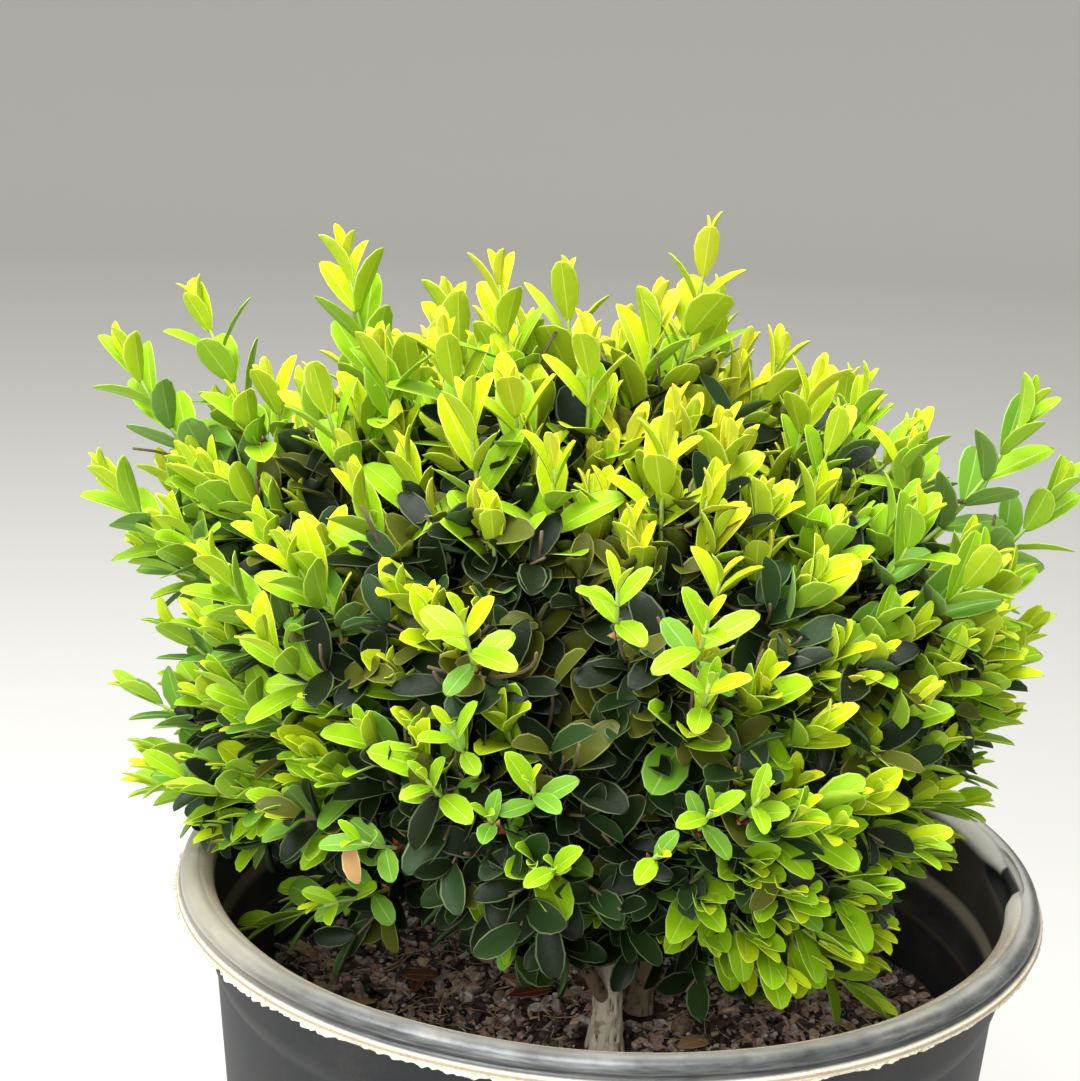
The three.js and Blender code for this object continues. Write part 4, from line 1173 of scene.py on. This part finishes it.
def scalesOn(shoots):
    # Four brown bud scales round each joint, where the new growth starts.
    s = np.repeat(np.flatnonzero(shoots["flush"] > 0), 4)
    curve, t, n = shoots["curve"][s], 1 - shoots["bright"][s], len(s)
    root, ahead = pointOn(curve, t), directionOn(curve, t)
    side = unit(np.cross(ahead, aslant))
    turn = (np.tile(np.arange(4) * np.pi / 2, n // 4) + shoots["turn"][s])[:, None]
    offset = side * np.cos(turn) + np.cross(ahead, side) * np.sin(turn)
    along = unit(ahead + offset * (0.35 + 0.5 * dice.random((n, 1))))
    out = unit(ahead - along * dot(ahead, along))
    return {
        "root": root + offset * 0.2, "along": along, "across": np.cross(along, out), "out": out,
        "mass": shoots["mass"][s], "length": leaf["scale"] * (0.6 + 0.8 * dice.random(n)),
        "width": 0.5 + 0.3 * dice.random(n), "curl": np.full(n, 0.3), "fold": np.full(n, 0.5), "twist": np.zeros(n),
        "age": np.where(dice.random(n) < 0.6, bronze, dead), "form": np.full(n, 2),
    }


def makeTwigs(i, kinds, finishes):
    # Bark up to each shoot's joint and green beyond it, and the mass's own stem.
    shapes = []
    for kind, shoots in kinds.items():
        root, tip, steps = growth[kind]["twig"]
        mine = shoots["mass"] == i
        n, green = int(mine.sum()), 1 - shoots["bright"][mine]
        twig = tubes(shoots["curve"][mine] * mm, np.full(n, root * mm), np.full(n, tip * mm), 4, steps)
        step = (np.repeat(np.arange(steps), 4)[None] + 0.5) / steps
        which = (step >= green[:, None]).ravel(), np.zeros(4 * n, bool), np.repeat(green < 1, 4)
        shapes.append((*twig, which))
    shapes.append(limbShape(*barkLimb("twigStem", massStem[i], twigStem["radii"], seed=i)[:2]))
    points, faces, which = together(shapes)
    makePiece(f"twigs_{names[i]}", points, faces, finishes, which, slot="bark")


def makeLeaves(i, leaves, finishes):
    shapes = []
    for number, form in enumerate((plainLeaf, fullLeaf, scaleLeaf)):
        mine = (leaves["mass"] == i) & (leaves["form"] == number)
        chosen = {key: value[mine] for key, value in leaves.items()}
        shapes.append(leafShape(form, leafPoints(form, chosen), chosen["age"]))
    points, faces, which = together(shapes)
    makePiece(f"leaves_{names[i]}", points, faces, finishes, which, slot="foliage", replaces=[f"foliage_{names[i]}"])


def makeFoliage(finishes):
    main = mainShoots()
    kinds = {"main": main, "side": sideShoots(main), "spur": spurShoots(main)}
    for kind, shoots in kinds.items():
        dressShoots(shoots, kind)
    sets = [leavesOn(shoots, kind) for kind, shoots in kinds.items()]
    sets += [scalesOn(kinds["main"]), scalesOn(kinds["side"])]
    leaves = {key: np.concatenate([s[key] for s in sets]) for key in sets[0]}
    # A leaf stays where its root, its tip and both sides of its middle are clear of the pot.
    root, ends = leaves["root"], leaves["root"] + leaves["along"] * leaves["length"][:, None]
    middle, half = (ends + root) / 2, leaves["across"] * 4
    kept = clearOfPot(ends, 2) & clearOfPot(root, 2) & clearOfPot(middle + half, 1) & clearOfPot(middle - half, 1)
    leaves = {key: value[kept] for key, value in leaves.items()}
    stalks = [
        grainyFinish("twigBark", "66573e", (900.0, 4.0, 0.6), (0.2, 0.65), (0.6, 0.0005), Roughness=0.8),
        grainyFinish("greenShoot", "a3b95a", (700.0,), (0.2, 0.4), (0.3, 0.0004), Roughness=0.5),
    ]
    for i in range(len(names)):
        makeLeaves(i, leaves, finishes)
        makeTwigs(i, kinds, stalks)
    print("foliage,", len(leaves["mass"]), "leaves and scales")


def makeFallen(finishes):
    # Dead leaves that lie on the mix, three of them where the photograph shows one.
    spots = np.concatenate([fallen["placed"], onMix(fallen["count"], 12)[:, :2]])
    n = len(spots)
    along, across, out = turned(n, fallen["tilt"]).swapaxes(0, 1)
    leaves = {
        "root": np.c_[spots, mixHeight(*spots.T) + 4.2] - along * 5, "along": along, "across": across, "out": out,
        "length": 11 + 7 * dice.random(n), "width": 0.42 + 0.14 * dice.random(n), "curl": 0.9 * (dice.random(n) - 0.3),
        "fold": 0.5 * dice.random(n), "twist": 0.5 * (dice.random(n) - 0.5),
    }
    points = leafPoints(fullLeaf, leaves)
    points[..., 2] = np.maximum(points[..., 2], mixHeight(points[..., 0], points[..., 1]) + 2)
    age = np.where(np.arange(n) % 3 == 2, bronze, dead)
    points, faces, which = together([leafShape(fullLeaf, points, age)])
    makePiece("fallen_leaves", points, faces, finishes, which, slot="foliage")
    print("fallen leaves")


leafLooks = leafFinishes()
makeFoliage(leafLooks)
makeFallen(leafLooks)

visualBox = [list(corner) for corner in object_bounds()]
for corner, cad, seen in zip(("low", "high"), cadBox, visualBox):
    print(corner, [round(1000 * c, 1) for c in cad], [round(1000 * s, 1) for s in seen])
